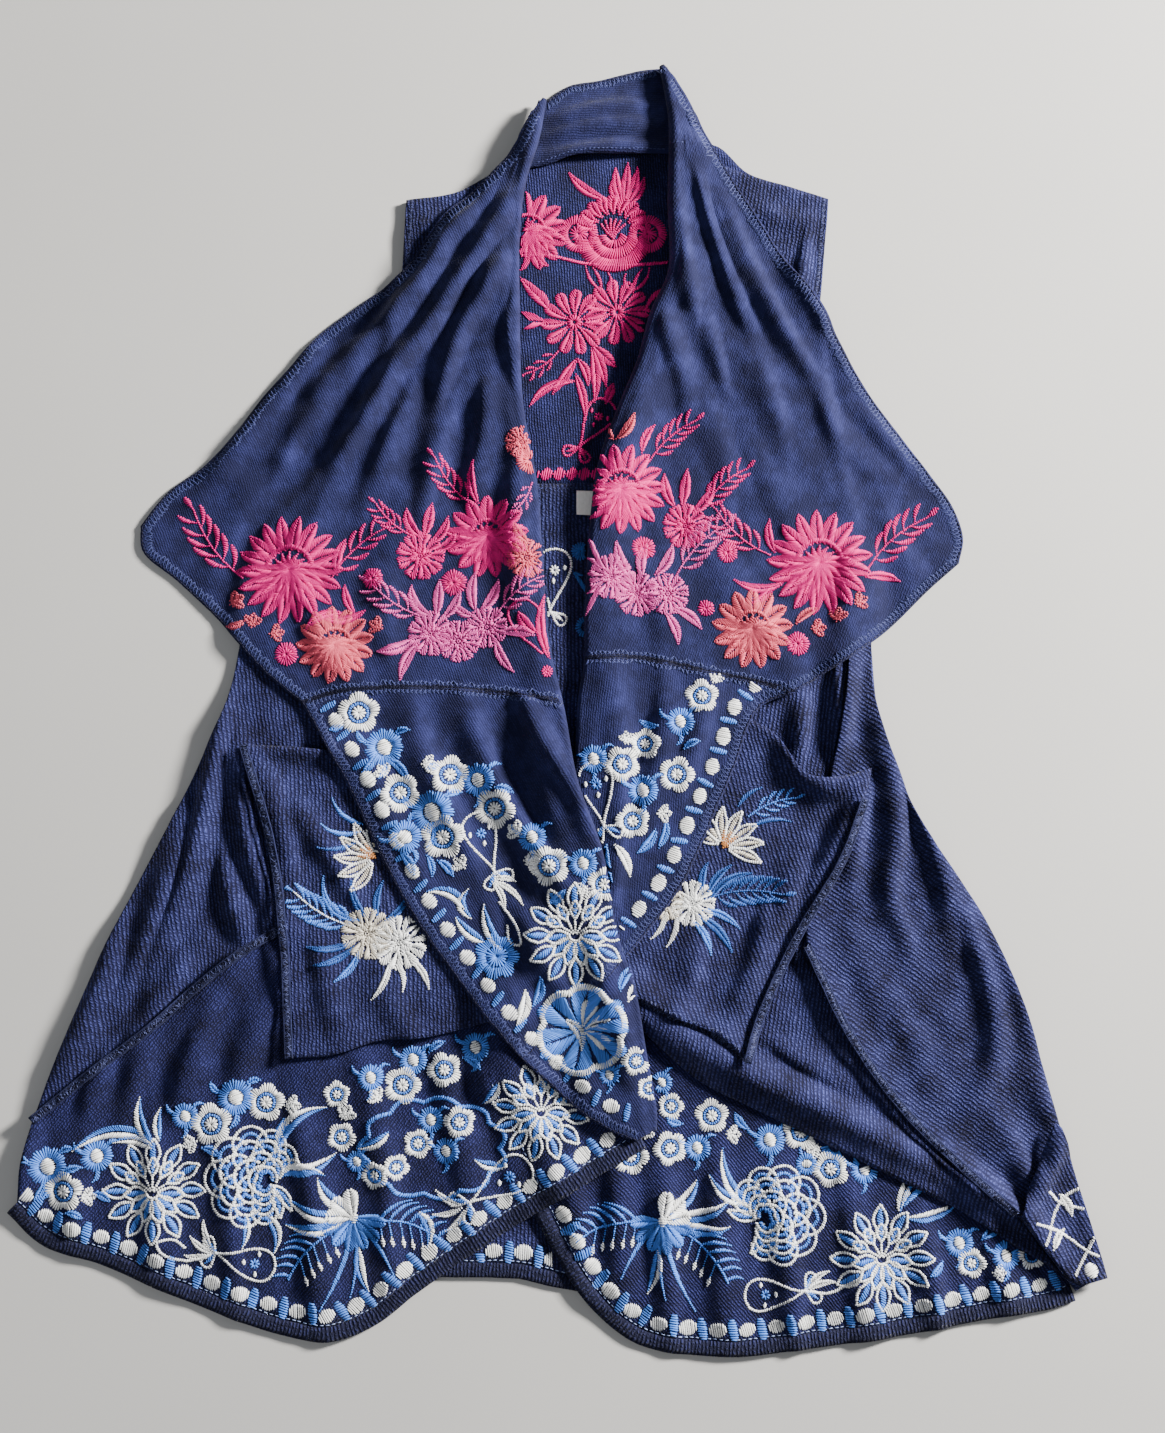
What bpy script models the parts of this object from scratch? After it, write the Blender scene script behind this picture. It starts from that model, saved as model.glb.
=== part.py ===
"""An open-front draped knit vest, laid flat on its back with both lapels folded out.

X runs to the right, Y up towards the collar and Z up from the surface it lies on.
Tables are in millimetres. Each cut piece is an open sheet with a Solidify modifier, and
the sheets are laid down one after another, each on whatever is already under it.
"""
import math

import bpy
import numpy as np

MM = 0.001
OBJECT_NAME = "knit_vest"

# Cloth sizes
KNIT = 1.6
JERSEY = 1.5
BINDING_CLOTH = 2.0
ALLOWANCE_CLOTH = 1.2
LABEL_CLOTH = 1.0
SEAM_GAP = 0.3
LAPEL_SEAM_INSET = 0.35
LAYER_GAP = 0.5

# Widths of narrow pieces and of the turned-under part of a lapel
BINDING_WIDTH = 11.0
ALLOWANCE_WIDTH = 7.0
LEG_AT_NECK = 7.0
LEG = 16.0
LEG_GROWS_OVER = 70.0
PUFF_SPREADS = 38.0
TIP_OVERLAP = (2, -9)

# Mesh and lay-down spacing
CELL = 27.0
LAPEL_CELL = 24.0
BACK_CELL = 45.0
ARC_STEPS = 4
PITCH = 2.5
HALF_RASTER = 560.0
DRAPE_REACH = 15.0
CLOSE_REACH = 2.5
GODET_SETTLES = 0.8

# Middle of the outlines' box, which is moved to the origin
CENTRE = (-0.44, -2.92)

# Outlines as (x, y) rows

SHOULDERS = [(-121, 391), (-82, 398), (-48, 416), (-26, 422), (14, 432), (50, 434), (88, 435), (126, 437),
             (152, 414), (185, 403), (216, 392)]
BACK_SEAM = [(-186, 162), (-14, 162), (112, 162), (226, 150)]
ARMHOLE_LEFT = [(-121, 391), (-124, 330), (-130, 270), (-152, 210), (-186, 162)]
ARMHOLE_RIGHT = [(216, 392), (210, 325), (205, 265), (211, 205), (226, 150)]
SIDE_LEFT = [(-186, 162), (-222, 122), (-241, 82), (-248, 34), (-257, -10), (-296, -99),
             (-341, -187), (-382, -286), (-401, -335), (-410, -385)]
SIDE_RIGHT = [(226, 150), (240, 104), (245, 38), (251, -25), (270, -80), (292, -122), (330, -180),
              (359, -248), (377, -316), (394, -376), (406, -425)]
BACK_HEM = [(-410, -388), (-347, -418), (-248, -438), (-164, -446), (-77, -449), (-28, -450), (6, -458),
            (71, -464), (146, -467), (260, -464), (336, -455), (406, -430)]
COLLAR_TOP = [(-12, 472), (8, 486), (34, 491), (66, 499), (86, 501)]
NECK_SEAM = [(-34, 416), (-10, 420), (14, 427), (50, 429), (100, 430)]

LEFT_FOLD = [(-9, 472), (-15, 437), (-25, 404), (-30, 363), (-30, 306), (-27, 226), (-16, 162), (-11, 99),
             (-6, 36), (6, -18), (16, -72), (35, -126), (46, -187), (60, -232), (68, -277), (76, -322), (76, -338)]
LEFT_LAPEL_EDGE = [(-22, 459), (-37, 428), (-64, 400), (-90, 377), (-123, 332), (-156, 307), (-188, 283),
                   (-215, 251), (-233, 231), (-253, 203), (-277, 177), (-307, 155), (-328, 128)]
LEFT_LAPEL_SEAM = [(4, -11), (-29, -6), (-99, 0), (-168, -3), (-199, -12)]
LEFT_LAPEL_HEM = [(-199, -12), (-229, 13), (-266, 54), (-298, 84), (-326, 108), (-328, 128)]
LEFT_POINT_EDGE = [(-199, -12), (-187, -32), (-164, -72), (-140, -122), (-113, -172), (-82, -217), (-39, -270),
                   (-9, -300), (18, -324), (48, -341), (60, -345)]

RIGHT_FOLD = [(81, 500), (85, 478), (88, 453), (87, 388), (87, 331), (73, 298), (62, 258), (49, 226), (32, 178),
              (24, 115), (21, 52), (21, 23), (16, -10), (13, -60), (6, -120), (-12, -190), (-38, -250), (-60, -298)]
RIGHT_LAPEL_EDGE = [(93, 489), (105, 469), (121, 438), (153, 385), (184, 336), (207, 307), (221, 279),
                    (240, 243), (265, 207), (292, 171), (311, 143), (319, 118), (315, 98)]
RIGHT_LAPEL_SEAM = [(21, 23), (64, 23), (119, 12), (161, 3), (184, -4)]
RIGHT_LAPEL_HEM = [(184, -4), (218, 17), (259, 46), (290, 76), (315, 98)]
RIGHT_POINT_EDGE = [(184, -4), (156, -17), (138, -60), (116, -111), (96, -153), (64, -195), (33, -229),
                    (0, -262), (-30, -288), (-52, -304)]

LEFT_SKIRT_SEAM = [(-399, -331), (-353, -294), (-312, -263), (-278, -233), (-244, -206), (-208, -184),
                   (-130, -178), (-40, -196), (30, -218)]
LEFT_HEM = [(-417, -400), (-392, -424), (-346, -439), (-300, -458), (-254, -476), (-209, -491), (-171, -496),
            (-137, -484), (-107, -461), (-43, -417), (18, -380), (48, -362), (68, -351)]
LEFT_SIDE_LOW = [(-399, -331), (-407, -365), (-417, -400)]
LEFT_OUTER = [(-121, 391), (-124, 330), (-130, 270), (-152, 210), (-186, 162), (-222, 122), (-241, 82),
              (-248, 34), (-257, -10), (-296, -99), (-341, -187), (-382, -286), (-399, -331)]

RIGHT_PLEAT = [(8, -205), (48, -246), (79, -275), (109, -301), (155, -324), (223, -357), (261, -376),
               (306, -398), (336, -417), (380, -444)]
RIGHT_SKIRT_TOP = [(-12, -190), (48, -228), (109, -284), (155, -307), (223, -341), (306, -384), (352, -414),
                   (384, -438)]
RIGHT_HEM = [(-60, -308), (-30, -372), (-5, -424), (21, -465), (52, -493), (74, -502), (138, -507), (184, -502),
             (259, -492), (335, -478), (375, -472), (393, -466)]
RIGHT_BODY_OUTER = [(216, 392), (210, 325), (205, 265), (211, 205), (224, 150), (232, 104), (224, 0),
                    (204, -110), (192, -200), (224, -267), (266, -325), (307, -365), (345, -398), (380, -444)]
RIGHT_SIDE_SEAM = [(232, 104), (224, 0), (204, -110), (192, -200), (224, -267), (266, -325), (307, -365),
                   (345, -398), (392, -458)]
RIGHT_SIDE_OUTER = [(243, 104), (245, 38), (245, 6), (251, -25), (270, -80), (292, -122), (330, -180),
                    (359, -248), (377, -316), (394, -376), (408, -425), (415, -448)]
GODET_INNER = [(378, -332), (366, -361), (356, -382), (349, -402)]
GODET_OUTER = [(383, -336), (396, -380), (409, -425), (416, -448)]
GODET_LOWER = [(349, -402), (372, -432), (392, -452), (416, -448)]

POCKET_RIGHT_TOP = [(96, -14), (142, -22), (169, -37), (192, -67), (219, -70), (242, -63)]
POCKET_RIGHT_EDGE = [(242, -63), (236, -87), (218, -134), (187, -187), (159, -244), (144, -286)]
POCKET_RIGHT_FOOT = [(20, -222), (64, -240), (87, -252), (125, -268), (144, -286)]
POCKET_LEFT_TOP = [(-242, -45), (-199, -47), (-168, -50), (-100, -54)]
POCKET_LEFT_EDGE = [(-242, -45), (-220, -118), (-209, -195), (-204, -284)]
POCKET_LEFT_FOOT = [(-204, -284), (-173, -282), (-135, -271), (-97, -268), (-30, -250)]
LABEL_CORNERS = [(15, 156), (38, 155), (38, 136), (15, 137)]

# How far a lapel stands off at its fold: distance down the fold, inner radius
LEFT_PUFF = [(0, 2.0), (70, 3.0), (180, 4.5), (330, 4.0), (470, 3.0), (600, 2.2), (850, 1.6)]
RIGHT_PUFF = [(0, 2.0), (60, 5.0), (170, 6.5), (260, 5.0), (400, 3.5), (520, 2.5), (860, 1.6)]

# Folds and waves as rows of start x, start y, end x, end y, half width, height

LEFT_LAPEL_FOLDS = [
    (-93, 368, -137, 300, 12, 6.0),
    (-42, 384, -126, 236, 12, 7.0),
    (-32, 330, -78, 214, 11, 5.5),
    (-150, 288, -232, 170, 20, 4.0),
    (-90, 228, -128, 104, 20, 3.5),
    (-196, 236, -292, 146, 16, 3.0),
    (-24, 212, -34, 84, 13, 3.5),
    (-150, 120, -190, 34, 22, 2.5),
    (-252, 126, -300, 110, 14, 2.5),
]
LEFT_POINT_FOLDS = [
    (-62, -20, -28, -126, 12, 4.0),
    (-14, -30, 12, -134, 12, 4.0),
    (-122, -20, -70, -160, 15, 3.0),
    (-12, -160, 18, -252, 14, 3.0),
    (22, -240, 46, -316, 12, 2.5),
]
RIGHT_LAPEL_FOLDS = [
    (104, 440, 103, 292, 14, 6.0),
    (136, 374, 160, 284, 12, 5.5),
    (172, 318, 214, 220, 15, 4.5),
    (76, 268, 44, 176, 14, 3.5),
    (142, 250, 160, 150, 24, 3.5),
    (108, 232, 92, 120, 20, 3.0),
    (206, 176, 262, 116, 20, 3.0),
    (66, 120, 80, 40, 18, 2.5),
    (250, 196, 296, 138, 12, 3.0),
]
RIGHT_POINT_FOLDS = [
    (46, 8, 54, -160, 14, 3.5),
    (100, -4, 84, -118, 14, 3.0),
]
LEFT_FRONT_FOLDS = [
    (-262, -46, -300, -165, 16, 5.0),
    (-250, -88, -262, -212, 12, 4.5),
    (-288, -168, -322, -245, 14, 4.5),
    (-344, -230, -362, -280, 12, 3.0),
    (-388, -352, -398, -412, 12, 3.5),
    (-345, -345, -352, -430, 14, 4.5),
    (-290, -350, -292, -450, 14, 4.0),
    (-236, -360, -226, -474, 14, 4.5),
    (-172, -340, -174, -490, 16, 6.5),
    (-118, -300, -108, -452, 16, 5.5),
    (-70, -290, -56, -420, 14, 4.5),
    (-24, -290, -4, -388, 12, 4.0),
    (24, -270, 40, -360, 12, 3.0),
]
RIGHT_BODY_FOLDS = [
    (62, -236, 160, -306, 15, 7.0),
    (160, -306, 336, -398, 15, 6.0),
    (232, -135, 244, -240, 14, 4.5),
    (230, -262, 300, -340, 14, 4.0),
]
RIGHT_SIDE_FOLDS = [
    (256, -40, 286, -136, 14, 5.5),
    (252, -150, 296, -246, 14, 5.0),
    (330, -206, 332, -330, 15, 5.5),
    (268, -262, 318, -330, 12, 4.0),
    (352, -300, 372, -380, 12, 3.5),
]
RIGHT_SKIRT_FOLDS = [
    (-24, -300, -14, -392, 12, 4.0),
    (20, -320, 20, -450, 14, 4.5),
    (62, -350, 66, -494, 14, 5.5),
    (112, -360, 116, -500, 14, 4.0),
    (166, -380, 176, -500, 14, 4.5),
    (222, -396, 232, -492, 14, 4.0),
    (282, -412, 292, -484, 12, 4.0),
    (334, -430, 346, -476, 10, 3.0),
]
POCKET_RIGHT_FOLDS = [
    (172, -46, 232, -72, 13, 6.0),
    (186, -90, 158, -166, 12, 4.0),
    (128, -150, 110, -240, 14, 3.0),
]
POCKET_LEFT_FOLDS = [
    (-226, -60, -206, -232, 12, 3.0),
    (-174, -140, -166, -264, 12, 3.0),
    (-218, -50, -150, -54, 9, 3.5),
]
COLLAR_FOLDS = [
    (10, 474, 74, 482, 6, 4.0),
    (2, 458, 80, 464, 6, 4.5),
    (2, 444, 80, 449, 6, 3.5),
]
GODET_FOLDS = [
    (372, -350, 356, -394, 8, 5.0),
    (392, -390, 404, -440, 10, 3.0),
]

# Colours as linear red, green and blue
NAVY_BODY = (0.030, 0.036, 0.095)
NAVY_LAPEL = (0.046, 0.058, 0.150)
NAVY_EDGE = (0.016, 0.018, 0.046)
LABEL_WHITE = (0.75, 0.74, 0.70)


def smooth(points, steps_per_row=24):
    """A smooth curve through the points, as many short steps."""
    p = np.array(points, float)
    if len(p) == 2:
        t = np.linspace(0, 1, steps_per_row)[:, None]
        return p[0] * (1 - t) + p[1] * t
    chord = np.sqrt(np.linalg.norm(np.diff(p, axis=0), axis=1))
    knot = np.concatenate([[0], np.cumsum(chord)])
    slope = np.diff(p, axis=0) / np.diff(knot)[:, None]
    tangent = np.empty_like(p)
    tangent[0] = slope[0]
    tangent[-1] = slope[-1]
    for i in range(1, len(p) - 1):
        before = knot[i] - knot[i - 1]
        after = knot[i + 1] - knot[i]
        tangent[i] = (slope[i - 1] * after + slope[i] * before) / (before + after)
    rows = []
    t = np.linspace(0, 1, steps_per_row, endpoint=False)[:, None]
    for i in range(len(p) - 1):
        h = knot[i + 1] - knot[i]
        rows.append((2 * t**3 - 3 * t**2 + 1) * p[i] + (t**3 - 2 * t**2 + t) * h * tangent[i]
                    + (3 * t**2 - 2 * t**3) * p[i + 1] + (t**3 - t**2) * h * tangent[i + 1])
    rows.append(p[-1:])
    return np.vstack(rows)


def even(curve, count):
    """The same curve at count + 1 evenly spaced points."""
    run = np.concatenate([[0], np.cumsum(np.linalg.norm(np.diff(curve, axis=0), axis=1))])
    at = np.linspace(0, run[-1], count + 1)
    return np.stack([np.interp(at, run, curve[:, k]) for k in range(curve.shape[1])], axis=1)


def edge(points, count):
    """A smooth outline through the points, at count + 1 evenly spaced points."""
    return even(smooth(points), count)


def edge_to(points, end, count):
    """An outline whose last point is moved to another end."""
    return edge(points[:-1] + [tuple(end)], count)


def cells(points, cell):
    """How many cells of about this size fit along an outline."""
    run = np.linalg.norm(np.diff(smooth(points), axis=0), axis=1).sum()
    return max(2, round(run / cell))


def sideways(curve, distance):
    """The curve moved to its left by a distance, which may differ from point to point."""
    run = np.gradient(curve, axis=0)
    run /= np.linalg.norm(run, axis=1)[:, None]
    left = np.stack([-run[:, 1], run[:, 0]], axis=1)
    return curve + left * np.reshape(distance, (-1, 1))


def patch(first_row, last_row, first_column, last_column):
    """A Coons patch between four edges that share their corners; rows run from first to last row."""
    v = np.linspace(0, 1, len(first_column))[:, None, None]
    u = np.linspace(0, 1, len(first_row))[None, :, None]
    between_rows = (1 - v) * first_row[None] + v * last_row[None]
    between_columns = (1 - u) * first_column[:, None] + u * last_column[:, None]
    corners = ((1 - u) * (1 - v) * first_row[0] + u * (1 - v) * first_row[-1]
               + (1 - u) * v * last_row[0] + u * v * last_row[-1])
    return between_rows + between_columns - corners


def inset(grid, distance=SEAM_GAP / 2):
    """The grid with its outer points moved in by half a seam's gap."""
    out = grid.copy()
    for rim, inner in ((0, 1), (-1, -2)):
        step = grid[inner] - grid[rim]
        out[rim] += step * distance / np.linalg.norm(step[:, :2], axis=1)[:, None]
    for rim, inner in ((0, 1), (-1, -2)):
        step = grid[:, inner] - grid[:, rim]
        out[:, rim] += step * distance / np.linalg.norm(step[:, :2], axis=1)[:, None]
    return out


def relief(xy, folds):
    """The height that the folds add at each point."""
    height = np.zeros(xy.shape[:-1])
    for x0, y0, x1, y1, half_width, tall in folds:
        start = np.array([x0, y0], float)
        run = np.array([x1 - x0, y1 - y0], float)
        along = np.clip(((xy - start) @ run) / (run @ run), 0, 1)
        gap = np.linalg.norm(xy - start - along[..., None] * run, axis=-1)
        height = np.maximum(height, tall * np.exp(-(gap / half_width) ** 2))
    return height


def slope_stretch(grid):
    """How much thicker a sloping sheet measures straight up, at each of its points."""
    du = np.gradient(grid, axis=1)
    dv = np.gradient(grid, axis=0)
    normal = np.cross(du, dv)
    level = np.abs(normal[..., 2]) / np.maximum(np.linalg.norm(normal, axis=-1), 1e-9)
    return 1 / np.clip(level, 0.6, 1.0)


def fine_points(grid):
    """Points spread over the two flat triangles of each cell, closer together than the raster."""
    size = max(np.linalg.norm(np.diff(grid[..., :2], axis=0), axis=-1).max(),
               np.linalg.norm(np.diff(grid[..., :2], axis=1), axis=-1).max())
    count = int(math.ceil(size / (0.8 * PITCH))) + 1
    a, b = np.meshgrid(np.linspace(0, 1, count), np.linspace(0, 1, count))
    a = a.ravel()[None, None, :, None]
    b = b.ravel()[None, None, :, None]
    p00 = grid[:-1, :-1, None]
    p01 = grid[:-1, 1:, None]
    p10 = grid[1:, :-1, None]
    p11 = grid[1:, 1:, None]
    lower = p00 + a * (p01 - p00) + b * (p11 - p01)
    upper = p00 + b * (p10 - p00) + a * (p11 - p10)
    return np.where(a >= b, lower, upper)


class Pile:
    """The height of the top of everything laid down so far, on a square raster."""

    def __init__(self):
        self.count = int(2 * HALF_RASTER / PITCH) + 1
        self.top = np.zeros((self.count, self.count))

    def index(self, xy):
        at = np.rint((xy + HALF_RASTER) / PITCH).astype(int)
        at = np.clip(at, 0, self.count - 1)
        return at[..., 1], at[..., 0]

    @staticmethod
    def widened(field, times):
        """Each place takes the highest value next to it, so many times."""
        for _ in range(times):
            padded = np.pad(field, 1, mode="edge")
            field = np.maximum.reduce([padded[1:-1, 1:-1], padded[:-2, 1:-1], padded[2:, 1:-1],
                                       padded[1:-1, :-2], padded[1:-1, 2:]])
        return field

    @staticmethod
    def blurred(field, times):
        for _ in range(times):
            padded = np.pad(field, 1, mode="edge")
            field = (2 * padded[1:-1, 1:-1] + padded[:-2, 1:-1] + padded[2:, 1:-1]
                     + padded[1:-1, :-2] + padded[1:-1, 2:]) / 6
        return field

    def cover(self, points):
        """Adds points of a top surface."""
        np.maximum.at(self.top, self.index(points[..., :2]), points[..., 2])

    def floor_for_next(self):
        """The lowest height at which the next sheet may lie, at each place."""
        near = self.widened(self.top, 2)
        return np.where(near > 0, near + LAYER_GAP, 0)

    def lay(self, flat, folds, reach=DRAPE_REACH):
        """Lays a flat grid on the pile: returns its underside as a grid of points."""
        floor = self.floor_for_next()
        times = round(reach / PITCH)
        soft = self.blurred(self.widened(floor, times - 1), 2 * times)
        height = soft[self.index(flat)] + relief(flat, folds)
        grid = np.concatenate([flat, height[..., None]], axis=-1)
        return self.raised(grid, floor)

    def raised(self, grid, floor):
        """Lifts the corners of each cell that would reach into what lies under it."""
        points = fine_points(grid)
        short = floor[self.index(points[..., :2])] - points[..., 2]
        lift = np.maximum(short.max(axis=-1), 0)
        tall = np.zeros(grid.shape[:2])
        for rows, columns in ((slice(None, -1), slice(None, -1)), (slice(1, None), slice(None, -1)),
                              (slice(None, -1), slice(1, None)), (slice(1, None), slice(1, None))):
            tall[rows, columns] = np.maximum(tall[rows, columns], lift)
        out = grid.copy()
        out[..., 2] += tall
        return out

    def add(self, grid, thickness):
        """Adds a laid sheet's top surface to the pile."""
        top = grid.copy()
        top[..., 2] += thickness * slope_stretch(grid)
        self.cover(fine_points(top))


class Fold:
    """A front edge turned over: the stations down its fold line and the part that turns under."""

    def __init__(self, points, toward, puff, cell):
        self.line = edge(points, cells(points, cell))
        run = np.concatenate([[0], np.cumsum(np.linalg.norm(np.diff(self.line, axis=0), axis=1))])
        self.normal = (sideways(self.line, 1.0) - self.line) * toward
        self.leg = np.interp(run, [0, LEG_GROWS_OVER], [LEG_AT_NECK, LEG])
        distance, radius = np.array(puff, float).T
        self.radius = np.interp(run, distance, radius)
        self.leg_height = None

    def at_height(self, y):
        """The station nearest to a height on the photograph's vertical axis."""
        return int(np.argmin(np.abs(self.line[:, 1] - y)))

    def leg_end(self, first, last, gap=0.0):
        """Where the turned-under part ends, between two stations."""
        rows = slice(first, last + 1)
        return self.line[rows] + self.normal[rows] * (self.leg[rows, None] + gap)

    def lay_leg(self, pile, thickness):
        """Puts the turned-under part on the pile, level across each station."""
        floor = pile.floor_for_next()
        height = np.zeros(len(self.line))
        for share in np.linspace(-0.1, 1.1, 9):
            points = self.line + self.normal * self.leg[:, None] * share
            height = np.maximum(height, floor[pile.index(points)])
            between = (points[:-1] + points[1:]) / 2
            middle = floor[pile.index(between)]
            height[:-1] = np.maximum(height[:-1], middle)
            height[1:] = np.maximum(height[1:], middle)
        self.leg_height = height
        rows = [np.concatenate([self.line + self.normal * self.leg[:, None] * share,
                                (height + thickness)[:, None]], axis=1) for share in (0, 0.5, 1)]
        pile.cover(fine_points(np.stack(rows, axis=1)))

    def start(self, thickness):
        """Where a lapel's flat part begins, just inside its fold."""
        return self.line + self.normal * (self.radius[:, None] + thickness)

    def puffed(self, grid, first, last, thickness):
        """The laid flat part, lifted near the fold so that the fold keeps its roundness."""
        rows = slice(first, last + 1)
        wanted = self.leg_height[rows] + thickness + 2 * self.radius[rows]
        short = np.maximum(wanted - grid[:, 0, 2], 0)
        away = np.linalg.norm(grid[..., :2] - grid[:, :1, :2], axis=-1)
        out = grid.copy()
        out[..., 2] += short[:, None] * np.exp(-(away / PUFF_SPREADS) ** 2)
        return out

    def turned(self, grid, first, last, thickness):
        """The whole inner face of a lapel: its flat part, the round fold and the part turned under."""
        rows = slice(first, last + 1)
        under = self.leg_height[rows] + thickness
        radius = (grid[:, 0, 2] - under) / 2
        middle = self.line[rows] + self.normal[rows] * (radius + thickness)[:, None]
        columns = [grid[:, i] for i in range(grid.shape[1] - 1, 0, -1)]
        for angle in np.linspace(math.pi / 2, 3 * math.pi / 2, ARC_STEPS + 1):
            xy = middle + self.normal[rows] * (radius * math.cos(angle))[:, None]
            z = under + radius + radius * math.sin(angle)
            columns.append(np.concatenate([xy, z[:, None]], axis=1))
        end = self.leg_end(first, last)
        columns.append(np.concatenate([end, under[:, None]], axis=1))
        return np.stack(columns, axis=1)


def material(name, colour, roughness):
    """A plain Principled material."""
    made = bpy.data.materials.new(name)
    made.use_nodes = True
    shader = made.node_tree.nodes["Principled BSDF"]
    shader.inputs["Base Color"].default_value = (*colour, 1.0)
    shader.inputs["Roughness"].default_value = roughness
    shader.inputs["Metallic"].default_value = 0.0
    return made


def sheet(name, grid, thickness, colour, collection):
    """An open sheet of quads with its thickness added on its outer side by Solidify."""
    rows, columns = grid.shape[:2]
    points = grid.copy()
    points[..., 0] -= CENTRE[0]
    points[..., 1] -= CENTRE[1]
    number = np.arange(rows * columns).reshape(rows, columns)
    quads = np.stack([number[:-1, :-1], number[1:, :-1], number[1:, 1:], number[:-1, 1:]], axis=-1).reshape(-1, 4)
    corner = points.reshape(-1, 3)[quads]
    facing = np.cross(corner[:, 2] - corner[:, 0], corner[:, 3] - corner[:, 1])[:, 2].sum()
    if facing < 0:
        quads = quads[:, ::-1]
    mesh = bpy.data.meshes.new(name)
    mesh.from_pydata([tuple(p) for p in points.reshape(-1, 3) * MM], [], [tuple(int(i) for i in q) for q in quads])
    mesh.materials.append(material(name, colour, 0.9))
    item = bpy.data.objects.new(name, mesh)
    collection.objects.link(item)
    solid = item.modifiers.new("thickness", "SOLIDIFY")
    solid.thickness = thickness * MM
    solid.offset = 1.0
    return item


def strip_along(curve, width, side):
    """A narrow flat grid beside a curve: three points across."""
    return np.stack([sideways(curve, side * width * share) for share in (-0.5, 0.0, 0.5)], axis=1)


def build_back(pile, collection):
    """The back: an embroidered yoke, the lower back, its bound hem, the collar and the label."""
    across = cells(BACK_SEAM, BACK_CELL)
    seam = edge(BACK_SEAM, across)
    yoke = patch(edge(SHOULDERS, across), seam, edge(ARMHOLE_LEFT, 7), edge(ARMHOLE_RIGHT, 7))
    hem = edge(BACK_HEM, across)
    bound = sideways(hem, BINDING_WIDTH)
    down = cells(SIDE_LEFT, BACK_CELL)
    lower = patch(seam, bound, edge_to(SIDE_LEFT, bound[0], down), edge_to(SIDE_RIGHT, bound[-1], down))
    binding = np.stack([bound, hem])
    for name, flat, colour in (("back_yoke", yoke, NAVY_BODY), ("back_lower", lower, NAVY_BODY),
                               ("binding_back", binding, NAVY_EDGE)):
        grid = np.concatenate([inset(flat), np.zeros(flat.shape[:2] + (1,))], axis=-1)
        sheet(name, grid, KNIT, colour, collection)
        pile.add(grid, KNIT)

    corners = [np.array(c, float) for c in LABEL_CORNERS]
    flat = patch(even(np.array(corners[:2]), 2), even(np.array([corners[3], corners[2]]), 2),
                 even(np.array([corners[0], corners[3]]), 2), even(np.array([corners[1], corners[2]]), 2))
    grid = pile.lay(flat, [])
    sheet("label", grid, LABEL_CLOTH, LABEL_WHITE, collection)
    pile.add(grid, LABEL_CLOTH)

    top = edge(COLLAR_TOP, 6)
    foot = edge(NECK_SEAM, 6)
    flat = patch(top, foot, even(np.array([top[0], foot[0]]), 5), even(np.array([top[-1], foot[-1]]), 5))
    grid = pile.lay(flat, COLLAR_FOLDS)
    sheet("collar_back", grid, JERSEY, NAVY_LAPEL, collection)
    pile.add(grid, JERSEY)


def build_allowance(pile, name, points, side, collection):
    """A raw seam allowance: a narrow strip that lies along a seam."""
    flat = strip_along(edge(points, cells(points, CELL)), ALLOWANCE_WIDTH, side)
    grid = pile.lay(flat, [], CLOSE_REACH)
    sheet(name, grid, ALLOWANCE_CLOTH, NAVY_EDGE, collection)
    pile.add(grid, ALLOWANCE_CLOTH)


def build_pocket(pile, name, top, foot, first, last, folds, collection):
    """A patch pocket: an open top edge, raw side and foot, laid on the front."""
    flat = patch(edge(top, 8), edge(foot, 8), first, last)
    grid = pile.lay(flat, folds)
    sheet(name, grid, KNIT, NAVY_BODY, collection)
    pile.add(grid, KNIT)


def build_lapel(pile, names, fold, split, seam, hem, outer, point_edge, folds, collection):
    """Both parts of a lapel: a wide upper part and a pointed lower part, joined at the station split."""
    last = len(fold.line) - 1
    seam_cells = cells(seam, LAPEL_CELL)
    hem_cells = cells(hem, LAPEL_CELL)
    start = fold.start(JERSEY)
    shared = edge([tuple(start[split])] + seam[1:], seam_cells)
    lower_edge = np.vstack([shared, edge(hem, hem_cells)[1:]])
    across = len(lower_edge) - 1
    outer_edge = edge(outer, split)
    upper = patch(even(np.array([start[0], outer_edge[0]]), across), lower_edge, start[:split + 1], outer_edge)
    point = edge(point_edge, last - split)
    lower = patch(shared, even(np.array([start[last], point[-1]]), seam_cells), start[split:], point)
    upper = fold.puffed(pile.lay(upper, folds[0]), 0, split, JERSEY)
    lower = fold.puffed(pile.lay(lower, folds[1]), split, last, JERSEY)
    level = np.maximum(upper[-1, :seam_cells + 1, 2], lower[0, :, 2])
    upper[-1, :seam_cells + 1, 2] = level
    lower[0, :, 2] = level
    for name, grid, first, end in ((names[0], upper, 0, split), (names[1], lower, split, last)):
        whole = fold.turned(grid, first, end, JERSEY)
        sheet(name, inset(whole, LAPEL_SEAM_INSET), JERSEY, NAVY_LAPEL, collection)
        pile.add(whole[:, :grid.shape[1] + 2], JERSEY)


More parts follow.
